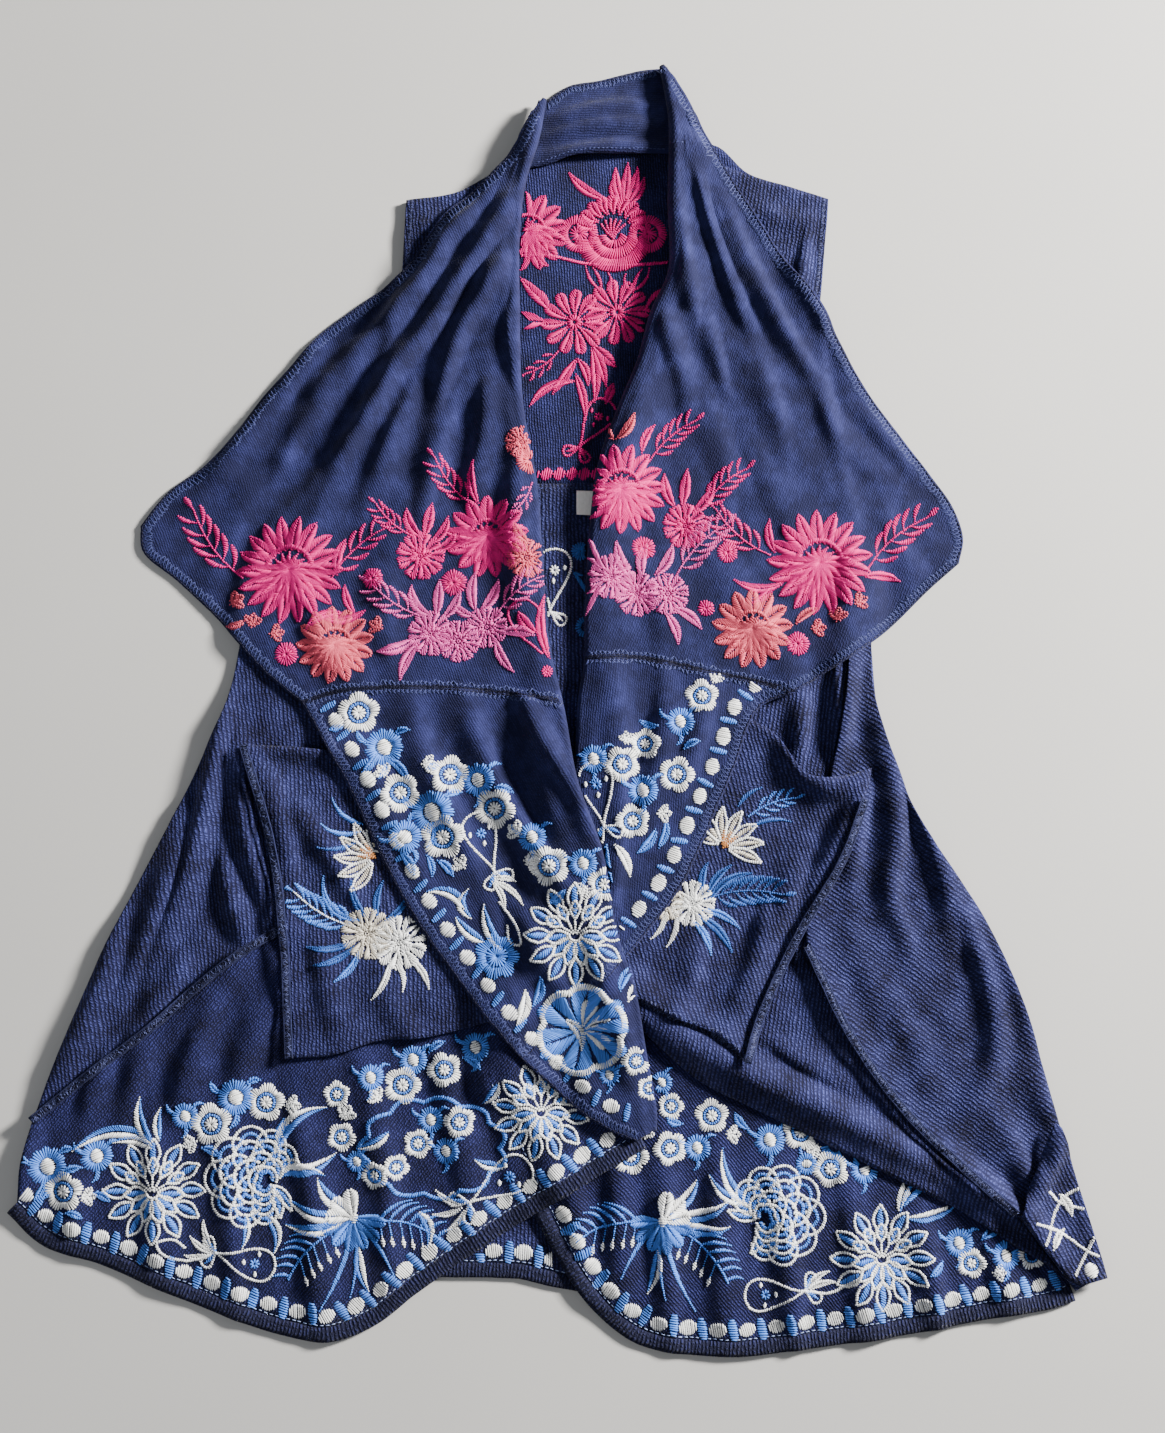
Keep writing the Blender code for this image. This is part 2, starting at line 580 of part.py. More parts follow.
def build_right(pile, collection):
    """The right front: embroidered skirt, body, side panel, godet, pocket and lapel."""
    fold = Fold(RIGHT_FOLD, 1.0, RIGHT_PUFF, LAPEL_CELL)
    last = len(fold.line) - 1
    fold.lay_leg(pile, JERSEY)

    waist = fold.at_height(-192)
    inner = fold.leg_end(waist, last, SEAM_GAP)
    across = cells(RIGHT_HEM, CELL)
    hem = edge([tuple(inner[-1] + TIP_OVERLAP)] + RIGHT_HEM[1:], across)
    bound = sideways(hem, BINDING_WIDTH)
    down = last - waist
    first_column = even(np.vstack([inner[:-1], bound[:1]]), down)
    top = edge([tuple(first_column[0])] + RIGHT_SKIRT_TOP[1:], across)
    flat = patch(top, bound, first_column, even(np.array([top[-1], bound[-1]]), down))
    flat = np.concatenate([flat, hem[None]])
    grid = pile.lay(flat, RIGHT_SKIRT_FOLDS)
    sheet("front_right_skirt", inset(grid[:-1]), KNIT, NAVY_BODY, collection)
    sheet("binding_right", inset(grid[-2:]), BINDING_CLOTH, NAVY_EDGE, collection)
    pile.add(grid, BINDING_CLOTH)

    shoulder = fold.at_height(432)
    inner = fold.leg_end(shoulder, waist, SEAM_GAP)
    down = waist - shoulder
    foot = edge([tuple(inner[-1])] + RIGHT_PLEAT[1:], cells(RIGHT_PLEAT, CELL))
    across = len(foot) - 1
    top = edge([tuple(inner[0]), (152, 412), (185, 402), (216, 392)], across)
    flat = patch(top, foot, inner, edge(RIGHT_BODY_OUTER, down))
    grid = pile.lay(flat, RIGHT_BODY_FOLDS)
    sheet("front_right_body", inset(grid), KNIT, NAVY_BODY, collection)
    pile.add(grid, KNIT)

    down = cells(RIGHT_SIDE_OUTER, CELL)
    seam = edge(RIGHT_SIDE_SEAM, down)
    outer = edge(RIGHT_SIDE_OUTER, down)
    flat = patch(even(np.array([seam[0], outer[0]]), 5), even(np.array([seam[-1], outer[-1]]), 5), seam, outer)
    grid = pile.lay(flat, RIGHT_SIDE_FOLDS)
    sheet("side_right", inset(grid), KNIT, NAVY_BODY, collection)
    pile.add(grid, KNIT)

    top = even(np.array([GODET_INNER[0], GODET_OUTER[0]], float), 4)
    flat = patch(top, edge(GODET_LOWER, 4), edge(GODET_INNER, 5), edge(GODET_OUTER, 5))
    grid = pile.lay(flat, GODET_FOLDS, CLOSE_REACH)
    grid[..., 2] -= GODET_SETTLES
    sheet("godet_right", inset(grid), KNIT, NAVY_BODY, collection)
    pile.add(grid, KNIT)

    build_allowance(pile, "allowance_side_right", RIGHT_SIDE_SEAM[3:-1], 1, collection)

    first = edge([POCKET_RIGHT_TOP[0], (62, -120), POCKET_RIGHT_FOOT[0]], 10)
    build_pocket(pile, "pocket_right", POCKET_RIGHT_TOP, POCKET_RIGHT_FOOT, first, edge(POCKET_RIGHT_EDGE, 10),
                 POCKET_RIGHT_FOLDS, collection)
    build_allowance(pile, "allowance_pocket_right", POCKET_RIGHT_EDGE[1:], 1, collection)

    build_lapel(pile, ("lapel_right_upper", "lapel_right_lower"), fold, fold.at_height(23), RIGHT_LAPEL_SEAM,
                RIGHT_LAPEL_HEM, RIGHT_LAPEL_EDGE, RIGHT_POINT_EDGE, (RIGHT_LAPEL_FOLDS, RIGHT_POINT_FOLDS), collection)


def build_left(pile, collection):
    """The left front, which overlaps the right one: body, skirt, pocket and lapel."""
    fold = Fold(LEFT_FOLD, -1.0, LEFT_PUFF, LAPEL_CELL)
    last = len(fold.line) - 1
    fold.lay_leg(pile, JERSEY)

    shoulder = fold.at_height(410)
    waist = fold.at_height(-222)
    across = cells(LEFT_SKIRT_SEAM, CELL)
    inner = fold.leg_end(shoulder, waist, SEAM_GAP)
    seam = edge(LEFT_SKIRT_SEAM[:-1] + [tuple(inner[-1])], across)
    top = edge([(-121, 391), (-82, 397), (-60, 407), tuple(inner[0])], across)
    body = patch(top, seam, edge(LEFT_OUTER, waist - shoulder), inner)
    inner = fold.leg_end(waist, last, SEAM_GAP)
    hem = edge(LEFT_HEM, across)
    bound = sideways(hem, BINDING_WIDTH)
    down = last - waist
    last_column = even(np.vstack([inner[:-1], bound[-1:]]), down)
    first_column = edge_to(LEFT_SIDE_LOW, bound[0], down)
    skirt = patch(seam, bound, first_column, last_column)
    flat = np.concatenate([body, skirt[1:], hem[None]])
    grid = pile.lay(flat, LEFT_FRONT_FOLDS)
    split = len(body) - 1
    sheet("front_left_body", inset(grid[:split + 1]), KNIT, NAVY_BODY, collection)
    sheet("front_left_skirt", inset(grid[split:-1]), KNIT, NAVY_BODY, collection)
    sheet("binding_left", inset(grid[-2:]), BINDING_CLOTH, NAVY_EDGE, collection)
    pile.add(grid, BINDING_CLOTH)

    build_allowance(pile, "allowance_skirt_left", LEFT_SKIRT_SEAM[:6], 1, collection)
    last_edge = edge([POCKET_LEFT_TOP[-1], (-64, -150), POCKET_LEFT_FOOT[-1]], 10)
    build_pocket(pile, "pocket_left", POCKET_LEFT_TOP, POCKET_LEFT_FOOT, edge(POCKET_LEFT_EDGE, 10), last_edge,
                 POCKET_LEFT_FOLDS, collection)
    build_allowance(pile, "allowance_pocket_left", POCKET_LEFT_EDGE, 1, collection)

    build_lapel(pile, ("lapel_left_upper", "lapel_left_lower"), fold, fold.at_height(-11), LEFT_LAPEL_SEAM,
                LEFT_LAPEL_HEM, LEFT_LAPEL_EDGE, LEFT_POINT_EDGE, (LEFT_LAPEL_FOLDS, LEFT_POINT_FOLDS), collection)


def main():
    for item in list(bpy.data.objects):
        bpy.data.objects.remove(item, do_unlink=True)
    collection = bpy.data.collections.new(OBJECT_NAME)
    bpy.context.scene.collection.children.link(collection)
    pile = Pile()
    build_back(pile, collection)
    build_right(pile, collection)
    build_left(pile, collection)


main()
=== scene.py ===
"""The looks of a draped knit vest that lies on its back with both lapels folded out.

Lengths are in millimetres, with X to the right and Y up towards the collar, unless a comment
says metres. Every panel is laid down as a fine cloth shell on whatever already lies under it,
and the embroidery is sewn onto the laid shells stitch by stitch.
"""
import math

import bmesh
import bpy
import numpy as np
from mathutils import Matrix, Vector
from mathutils.bvhtree import BVHTree


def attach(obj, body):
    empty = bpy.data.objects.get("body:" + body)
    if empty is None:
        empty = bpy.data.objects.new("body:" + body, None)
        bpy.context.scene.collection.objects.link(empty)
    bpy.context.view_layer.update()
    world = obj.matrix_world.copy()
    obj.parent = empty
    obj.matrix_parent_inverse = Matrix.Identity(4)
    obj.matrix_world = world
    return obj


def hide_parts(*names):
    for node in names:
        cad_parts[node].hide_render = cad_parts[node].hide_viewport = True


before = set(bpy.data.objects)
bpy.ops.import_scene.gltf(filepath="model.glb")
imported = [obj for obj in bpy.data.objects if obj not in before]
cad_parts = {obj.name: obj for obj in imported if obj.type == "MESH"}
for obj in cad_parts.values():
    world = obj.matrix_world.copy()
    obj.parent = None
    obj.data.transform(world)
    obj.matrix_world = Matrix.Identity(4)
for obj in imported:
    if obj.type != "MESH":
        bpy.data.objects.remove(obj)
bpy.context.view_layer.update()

# A millimetre in metres
MM = 0.001

# Thicknesses of the cloths
KNIT = 1.6
JERSEY = 1.5
BINDING_CLOTH = 2.0
ALLOWANCE_CLOTH = 1.2
LABEL_CLOTH = 1.0

# Gaps beside and below a piece, how far the parts of a lapel are set in, and how far a rim bulges
SEAM_GAP = 0.3
LAPEL_INSET = 0.35
LAYER_GAP = 0.4
RIM_BULGE = 0.35

# Widths of narrow pieces
BINDING_WIDTH = 11.0
ALLOWANCE_WIDTH = 7.0
ROLL_WIDTH = 9.0

# The turned-under part of a lapel: its width at the neck and below it, and where it ends at the hem
LEG_AT_NECK = 7.0
LEG = 16.0
LEG_GROWS_OVER = 70.0
LEG_EVENS_OVER = 4
PUFF_SPREADS = 30.0
TIP_OVERLAP = (2, -9)

# Cells of the meshes, and the raster that holds the pile's height
CELL = 3.8
YOKE_CELL = 5.5
HIDDEN_CELL = 12.0
STRIP_POINTS = 5
ARC_STEPS = 9
PITCH = 2.5
FINER_THAN_PITCH = 0.8
HALF_RASTER = 560.0

# How a sheet drapes over what lies under it
DRAPE_REACH = 7.5
CLOSE_REACH = 2.5
SMOOTH_PASSES = 5
KEPT_HEIGHT = 0.4
STEEPEST = 0.6

# Heights across a curled seam allowance, how they vary along it, and how full a binding is
ALLOWANCE_CURL = np.array([1.3, 0.0, 0.4, 0.0, 1.1])
CURL_VARIES = 0.5
CURL_TURN = 0.9
BINDING_FULLNESS = 0.5

# Middle of the outlines' box, which is moved to the origin
CENTRE = (-0.44, -2.92)

# Outlines as (x, y) rows

# Back, sides and collar
SHOULDERS = [(-121, 391), (-82, 398), (-48, 416), (-26, 422), (14, 432), (50, 434), (88, 435), (126, 437),
             (152, 414), (185, 403), (216, 392)]
BACK_SEAM = [(-186, 162), (-14, 162), (112, 162), (226, 150)]
ARMHOLE_LEFT = [(-121, 391), (-124, 330), (-130, 270), (-152, 210), (-186, 162)]
ARMHOLE_RIGHT = [(216, 392), (210, 325), (205, 265), (211, 205), (226, 150)]
SIDE_LEFT = [(-186, 162), (-222, 122), (-241, 82), (-248, 34), (-257, -10), (-296, -99), (-341, -187),
             (-382, -286), (-401, -335), (-410, -385)]
SIDE_RIGHT = [(226, 150), (240, 104), (245, 38), (251, -25), (270, -80), (292, -122), (330, -180),
              (359, -248), (377, -316), (394, -376), (406, -425)]
BACK_HEM = [(-410, -388), (-347, -418), (-248, -438), (-164, -446), (-77, -449), (-28, -450), (6, -458),
            (71, -464), (146, -467), (260, -464), (336, -455), (406, -430)]
COLLAR_TOP = [(-12, 472), (8, 486), (34, 491), (66, 499), (86, 501)]
NECK_SEAM = [(-34, 416), (-10, 420), (14, 427), (50, 429), (100, 430)]

# Left lapel: its fold, and the edges of its upper and lower part
LEFT_FOLD = [(-9, 472), (-15, 437), (-25, 404), (-30, 363), (-30, 306), (-27, 226), (-16, 162), (-11, 99),
             (-6, 36), (6, -18), (16, -72), (35, -126), (46, -187), (60, -232), (68, -277), (76, -322),
             (76, -338)]
LEFT_LAPEL_EDGE = [(-22, 459), (-37, 428), (-64, 400), (-90, 377), (-123, 332), (-156, 307), (-188, 283),
                   (-215, 251), (-233, 231), (-253, 203), (-277, 177), (-307, 155), (-328, 128)]
LEFT_LAPEL_SEAM = [(4, -11), (-29, -6), (-99, 0), (-168, -3), (-199, -12)]
LEFT_LAPEL_HEM = [(-199, -12), (-229, 13), (-266, 54), (-298, 84), (-326, 108), (-328, 128)]
LEFT_POINT_EDGE = [(-199, -12), (-187, -32), (-164, -72), (-140, -122), (-113, -172), (-82, -217),
                   (-39, -270), (-9, -300), (18, -324), (48, -341), (60, -345)]

# Right lapel, in the same way
RIGHT_FOLD = [(81, 500), (85, 478), (88, 453), (87, 388), (87, 331), (73, 298), (62, 258), (49, 226),
              (32, 178), (24, 115), (21, 52), (21, 23), (16, -10), (13, -60), (6, -120), (-12, -190),
              (-38, -250), (-60, -298)]
RIGHT_LAPEL_EDGE = [(93, 489), (105, 469), (121, 438), (153, 385), (184, 336), (207, 307), (221, 279),
                    (240, 243), (265, 207), (292, 171), (311, 143), (319, 118), (315, 98)]
RIGHT_LAPEL_SEAM = [(21, 23), (64, 23), (119, 12), (161, 3), (184, -4)]
RIGHT_LAPEL_HEM = [(184, -4), (218, 17), (259, 46), (290, 76), (315, 98)]
RIGHT_POINT_EDGE = [(184, -4), (156, -17), (138, -60), (116, -111), (96, -153), (64, -195), (33, -229),
                    (0, -262), (-30, -288), (-52, -304)]

# Left front
LEFT_SKIRT_SEAM = [(-399, -331), (-353, -294), (-312, -263), (-278, -233), (-244, -206), (-208, -184),
                   (-130, -178), (-40, -196), (30, -218)]
LEFT_HEM = [(-417, -400), (-392, -424), (-346, -439), (-300, -458), (-254, -476), (-209, -491),
            (-171, -496), (-137, -484), (-107, -461), (-43, -417), (18, -380), (48, -362), (68, -351)]
LEFT_SIDE_LOW = [(-399, -331), (-407, -365), (-417, -400)]
LEFT_OUTER = ARMHOLE_LEFT + SIDE_LEFT[1:-2] + LEFT_SIDE_LOW[:1]

# Right front, side panel and godet
RIGHT_PLEAT = [(8, -205), (48, -246), (79, -275), (109, -301), (155, -324), (223, -357), (261, -376),
               (306, -398), (336, -417), (380, -444)]
RIGHT_SKIRT_TOP = [(-12, -190), (48, -228), (109, -284), (155, -307), (223, -341), (306, -384), (352, -414),
                   (384, -438)]
RIGHT_HEM = [(-60, -308), (-30, -372), (-5, -424), (21, -465), (52, -493), (74, -502), (138, -507),
             (184, -502), (259, -492), (335, -478), (375, -472), (393, -466)]
RIGHT_BODY_OUTER = ARMHOLE_RIGHT[:4] + [
    (224, 150), (232, 104), (224, 0), (204, -110), (192, -200), (224, -267), (266, -325), (307, -365),
    (345, -398), (380, -444)]
RIGHT_SIDE_SEAM = RIGHT_BODY_OUTER[5:-1] + [(392, -458)]
RIGHT_SIDE_OUTER = [(243, 104), (245, 38), (245, 6), (251, -25), (270, -80), (292, -122), (330, -180),
                    (359, -248), (377, -316), (394, -376), (408, -425), (415, -448)]
GODET_INNER = [(378, -332), (366, -361), (356, -382), (349, -402)]
GODET_OUTER = [(383, -336), (396, -380), (409, -425), (416, -448)]
GODET_LOWER = [(349, -402), (372, -432), (392, -452), (416, -448)]

# Pockets and label
POCKET_RIGHT_TOP = [(96, -14), (142, -22), (169, -37), (192, -67), (219, -70), (242, -63)]
POCKET_RIGHT_EDGE = [(242, -63), (236, -87), (218, -134), (187, -187), (159, -244), (144, -286)]
POCKET_RIGHT_FOOT = [(20, -222), (64, -240), (87, -252), (125, -268), (144, -286)]
POCKET_LEFT_TOP = [(-242, -45), (-199, -47), (-168, -50), (-100, -54)]
POCKET_LEFT_EDGE = [(-242, -45), (-220, -118), (-209, -195), (-204, -284)]
POCKET_LEFT_FOOT = [(-204, -284), (-173, -282), (-135, -271), (-97, -268), (-30, -250)]
LABEL_CORNERS = [(15, 156), (38, 155), (38, 136), (15, 137)]

# How far a lapel stands off at its fold: distance down the fold, inner radius
LEFT_PUFF = [(0, 2.0), (70, 3.0), (180, 4.5), (330, 4.0), (470, 3.0), (600, 2.2), (850, 1.6)]
RIGHT_PUFF = [(0, 2.0), (60, 5.0), (170, 6.5), (260, 5.0), (400, 3.5), (520, 2.5), (860, 1.6)]

# Folds as rows of the points along a crest, its half width and its height

LEFT_LAPEL_FOLDS = [
    ([(-9, 456), (-20, 430), (-22, 400), (-37, 381), (-63, 346), (-87, 307), (-104, 281), (-128, 253),
      (-144, 223), (-171, 178)], 9, 11.0),
    ([(-63, 384), (-89, 357), (-106, 326), (-128, 300), (-148, 277), (-171, 253), (-196, 223)], 10, 9.5),
    ([(-26, 365), (-42, 340), (-56, 316), (-71, 291), (-82, 266), (-94, 223)], 8, 9.0),
    ([(-32, 312), (-38, 289), (-35, 262), (-29, 227)], 7, 6.0),
    ([(-167, 253), (-185, 226), (-202, 205), (-219, 175)], 8, 6.0),
    ([(-221, 233), (-236, 213), (-254, 188), (-272, 161)], 8, 6.0),
    ([(-196, 262), (-212, 239), (-229, 212)], 6, 4.5),
    ([(-119, 226), (-133, 192), (-148, 152)], 9, 6.0),
    ([(-86, 223), (-97, 177), (-106, 130)], 9, 5.5),
    ([(-57, 231), (-60, 192), (-69, 146)], 8, 5.5),
    ([(-249, 192), (-266, 169), (-285, 146)], 7, 4.0),
    ([(-176, 161), (-192, 130), (-210, 99)], 12, 3.5),
    ([(-238, 161), (-252, 130), (-266, 99)], 12, 3.5),
    ([(-29, 200), (-35, 130), (-29, 68)], 10, 4.0),
    ([(-122, 130), (-134, 76), (-130, 22)], 13, 3.5),
    ([(-199, 76), (-185, 37), (-161, -1)], 13, 3.5),
]
LEFT_POINT_FOLDS = [
    ([(-71, -9), (-54, -56), (-29, -102), (2, -149)], 9, 7.0),
    ([(-29, -1), (-13, -40), (13, -79), (30, -125)], 8, 7.5),
    ([(-114, -9), (-99, -63), (-68, -125)], 10, 5.5),
    ([(2, -9), (14, -56), (33, -110), (42, -164)], 7, 4.5),
    ([(-44, -149), (-13, -203), (10, -242)], 10, 4.0),
    ([(25, -187), (41, -242), (56, -296)], 9, 4.0),
    ([(-161, -17), (-137, -79), (-106, -141)], 10, 3.5),
]
RIGHT_LAPEL_FOLDS = [
    ([(89, 446), (92, 397), (98, 355), (106, 312), (111, 287)], 8, 6.0),
    ([(112, 402), (123, 361), (136, 322), (151, 284)], 6, 5.5),
    ([(132, 384), (148, 344), (165, 310), (180, 282), (198, 253)], 9, 6.5),
    ([(81, 304), (87, 276), (97, 248), (103, 216)], 8, 4.5),
    ([(115, 296), (123, 271), (131, 242)], 7, 4.5),
    ([(188, 330), (207, 298), (224, 262), (229, 229)], 11, 4.0),
    ([(154, 265), (167, 231), (177, 195)], 11, 4.5),
    ([(204, 236), (224, 195), (250, 166)], 10, 4.0),
    ([(236, 226), (258, 200), (277, 175)], 7, 3.5),
    ([(67, 267), (61, 226), (52, 185)], 10, 3.0),
    ([(115, 231), (129, 192), (134, 146)], 12, 3.0),
    ([(157, 177), (176, 138), (188, 92)], 13, 2.5),
    ([(250, 154), (266, 115), (289, 84)], 12, 2.5),
    ([(64, 99), (80, 61), (83, 22)], 11, 2.5),
    ([(134, 99), (148, 68), (173, 30)], 12, 2.5),
    ([(227, 99), (224, 61), (219, 30)], 10, 2.5),
]
RIGHT_POINT_FOLDS = [
    ([(42, 19), (50, -40), (49, -102), (42, -164)], 10, 5.5),
    ([(83, 16), (80, -40), (69, -94)], 10, 4.5),
    ([(120, 12), (111, -32), (98, -79)], 9, 4.0),
]
LEFT_FRONT_FOLDS = [
    ([(-111, 367), (-91, 374), (-69, 374)], 7, 4.0),
    ([(-260, -9), (-266, -57), (-277, -112), (-291, -164), (-308, -205)], 9, 8.0),
    ([(-246, -50), (-243, -82), (-238, -118), (-229, -146), (-221, -172)], 8, 8.0),
    ([(-258, -132), (-251, -165), (-241, -192)], 8, 7.0),
    ([(-288, -102), (-300, -149), (-314, -191), (-328, -226)], 9, 7.0),
    ([(-339, -187), (-350, -230), (-367, -268), (-385, -307)], 11, 7.0),
    ([(-280, -203), (-303, -240), (-326, -276)], 9, 6.0),
    ([(-232, -192), (-260, -229), (-288, -254)], 9, 6.0),
    ([(-360, -329), (-353, -304), (-343, -280)], 9, 5.5),
    ([(-326, -319), (-319, -293), (-309, -270)], 9, 6.0),
    ([(-289, -319), (-278, -280), (-266, -248)], 10, 7.0),
    ([(-246, -307), (-232, -271), (-212, -236)], 10, 7.0),
    ([(-199, -307), (-185, -293), (-176, -288)], 9, 4.5),
    ([(-399, -327), (-405, -358), (-412, -394)], 10, 4.5),
    ([(-362, -342), (-364, -381), (-367, -420)], 11, 4.5),
    ([(-308, -342), (-305, -389), (-302, -445)], 11, 5.5),
    ([(-254, -335), (-246, -397), (-241, -466)], 11, 5.5),
    ([(-199, -327), (-187, -389), (-179, -479)], 11, 6.0),
    ([(-147, -293), (-131, -358), (-125, -446)], 11, 6.0),
    ([(-91, -279), (-77, -335), (-64, -414)], 11, 5.5),
    ([(-40, -265), (-21, -319), (-1, -373)], 10, 4.5),
    ([(12, -249), (25, -288), (39, -327)], 9, 4.0),
]
RIGHT_BODY_FOLDS = [
    ([(165, 381), (188, 374), (208, 375)], 6, 4.0),
    ([(198, 363), (194, 332), (191, 301)], 6, 3.5),
    ([(64, -246), (103, -267), (148, -293), (193, -313), (236, -336), (284, -361)], 12, 9.5),
    ([(111, -276), (157, -302), (204, -322), (250, -347)], 6, 4.0),
    ([(284, -361), (328, -386), (366, -414)], 9, 7.0),
    ([(235, -149), (236, -180), (232, -218)], 9, 3.0),
    ([(198, -211), (218, -249), (241, -288)], 8, 2.0),
    ([(165, -273), (188, -288), (218, -304)], 8, 4.0),
    ([(188, -1), (190, -25), (188, -50)], 8, 6.0),
    ([(218, 22), (218, -9), (221, -45)], 7, 7.0),
    ([(233, 22), (238, -9), (244, -40)], 6, 5.5),
]
RIGHT_SIDE_FOLDS = [
    ([(247, -1), (255, -40), (261, -79), (263, -118), (258, -158), (269, -195)], 9, 7.5),
    ([(269, -68), (284, -107), (297, -146), (304, -189)], 8, 7.0),
    ([(239, -71), (232, -110), (227, -149)], 8, 5.5),
    ([(304, -156), (322, -203), (334, -251), (332, -288), (317, -315)], 8, 6.5),
    ([(343, -187), (356, -234), (365, -280)], 9, 5.0),
    ([(250, -226), (266, -265), (286, -304)], 10, 2.5),
    ([(363, -288), (374, -319), (384, -350)], 9, 4.5),
    ([(227, -187), (236, -218), (250, -257)], 9, 2.0),
    ([(335, -327), (351, -358), (366, -389)], 9, 5.0),
]
RIGHT_SKIRT_FOLDS = [
    ([(2, -350), (12, -381), (19, -428)], 9, 5.5),
    ([(42, -342), (46, -389), (49, -459)], 10, 6.0),
    ([(80, -350), (83, -404), (87, -482)], 10, 7.0),
    ([(120, -358), (123, -420), (128, -490)], 10, 6.0),
    ([(167, -366), (176, -428), (182, -497)], 10, 6.0),
    ([(219, -381), (227, -435), (233, -490)], 10, 5.5),
    ([(275, -404), (284, -443), (289, -482)], 9, 5.5),
    ([(328, -428), (337, -451), (343, -474)], 9, 4.5),
]
POCKET_RIGHT_FOLDS = [
    ([(177, -42), (198, -70), (221, -76), (239, -62)], 10, 9.0),
    ([(236, -76), (216, -115), (198, -152)], 7, 7.0),
    ([(188, -125), (180, -156), (165, -195)], 9, 6.0),
    ([(163, -164), (151, -211), (134, -249)], 8, 6.0),
    ([(111, -187), (103, -226), (95, -249)], 9, 4.5),
]
POCKET_LEFT_FOLDS = [
    ([(-226, -56), (-212, -102), (-202, -149)], 8, 6.0),
    ([(-229, -53), (-199, -50), (-168, -50)], 7, 5.5),
    ([(-206, -87), (-176, -125), (-153, -164)], 9, 5.5),
    ([(-184, -195), (-176, -234), (-168, -265)], 10, 4.5),
    ([(-130, -226), (-122, -249), (-106, -270)], 10, 4.0),
]
COLLAR_FOLDS = [
    ([(2, 459), (33, 467), (70, 470)], 6, 6.0),
    ([(-4, 443), (33, 451), (70, 453)], 6, 7.0),
    ([(-1, 428), (33, 434), (72, 436)], 5, 6.0),
    ([(2, 417), (33, 422), (72, 423)], 4, 3.5),
]
GODET_FOLDS = [
    ([(385, -342), (374, -366), (360, -389)], 6, 8.0),
    ([(399, -381), (405, -412), (410, -445)], 8, 4.5),
]

# Heights on the Y axis of the places where a front changes from one piece to the next
RIGHT_SHOULDER = 432
RIGHT_WAIST = -192
RIGHT_SPLIT = 23
LEFT_SHOULDER = 410
LEFT_WAIST = -222
LEFT_SPLIT = -11

# Where the body's top edge lies between the armhole and the lapel
RIGHT_BODY_TOP = [(152, 412), (185, 402), (216, 392)]
LEFT_BODY_TOP = [(-121, 391), (-82, 397), (-60, 407)]

# A place that the inner edge of each pocket passes through
POCKET_RIGHT_INNER = (62, -120)
POCKET_LEFT_INNER = (-64, -150)

# How a fold leans, widens along its length, fades at its ends and adds to another that it meets
FOLD_STEP = 4.0
FOLD_LEAN = 0.25
FOLD_SPREADS = 0.25
FOLD_FADE = 1.8
FOLD_END = 0.45
FOLD_SWELL = 0.7
FOLD_RISE = 1.16
FOLD_ADDS = 0.2

# Ripples: how many waves, how far they turn, and their size and drift as shares of a wavelength
RIPPLE_WAVES = 5
RIPPLE_TURN = 16
RIPPLE_SIZE = (0.7, 1.6)
RIPPLE_DRIFT = (3, 6)
RIPPLE_BEND = 0.35
RIPPLE_BEND_LENGTH = 0.7
RIPPLE_LIFT = 0.35

# Names of the map that holds each cut piece laid flat, in metres, and of the stitches' tints, which carry
# painted shade at each stitch's ends and sides and a painted highlight on its ridge
FLAT_MAP = "flat"
TINT = "tint"

# Height and half width of the floor in metres
FLOOR_HEIGHT = -0.0006
FLOOR_REACH = 4.0

# Camera almost straight above, as in the photograph: metres, degrees and the lens in millimetres
CAMERA_PLACE = (0.02004, -0.11735, 1.2461)
CAMERA_TILT = 4.5
CAMERA_LENS = 40.245

# Stitches: their spacing, size, wobble and tint
STITCH_PITCH = 1.7
STITCH_WIDTH = 1.85
THREAD_HEIGHT = 0.42
THREAD_SINKS = 0.25
LAYER_STEP = 0.28
WOBBLE = 0.16
SHADE_SPREAD = 0.12

# Where along a stitch its two thick sections lie, and the factors on its tint that give painted shade at its
# ends and sides and a painted highlight on its ridge
SECTIONS = (0.16, 0.84)
END_PAINTED_SHADE = 0.62
SIDE_PAINTED_SHADE = 0.92
RIDGE_PAINTED_HIGHLIGHT = 1.05

# The shortest stitch, the steepest it may span, and the length above which it arches over the cloth
SHORTEST_STITCH = 0.6
STITCH_SLOPE = 0.9
STITCH_STEP = 1.0
LONG_STITCH = 4.0

# Parts of motifs: sizes, shares and degrees
OUTLINE_HALF = 1.15
DOT_RADIUS = 6.7
DISC_FILL = 0.87
SATIN_OVERLAP = 0.4
SPLIT_ABOVE = 2.4
SHAPE_POINTS = 12
LONG_SHAPE_POINTS = 14
STEM_STEPS = 60
LOZENGE_STEP = 10
LOZENGE_HALF = 5.2
DASH_TURN = 97
DASH_VARIES = 5
DOT_TURN = 100
ROUNDED_ENDS = np.array([0.62, 0.95, 1.0, 1.0, 0.95, 0.62])

# Stitches along edges
OVERLOCK_PITCH = 3.4
OVERLOCK_WIDTH = 9.0
COLLAR_OVERLOCK = 7.0
SEAM_OVERLOCK = 5.0
OVERLOCK_START = 1.4
OVERLOCK_VARIES = 0.9
FRAY_PITCH = 0.9
FRAY_WIDTH = 0.6
HEM_STITCHES = BINDING_WIDTH + 1.6

# Height from which the cloth is looked down on
LOOK_FROM = 200.0

# Groups of pieces that carry the same stitches
SKIRT_PIECES = ("front_left_skirt", "front_right_skirt")
BACK_PIECES = ("back_yoke", "back_lower")
LAPEL_PIECES = ("lapel_left_upper", "lapel_left_lower", "lapel_right_upper", "lapel_right_lower",
                "collar_back")

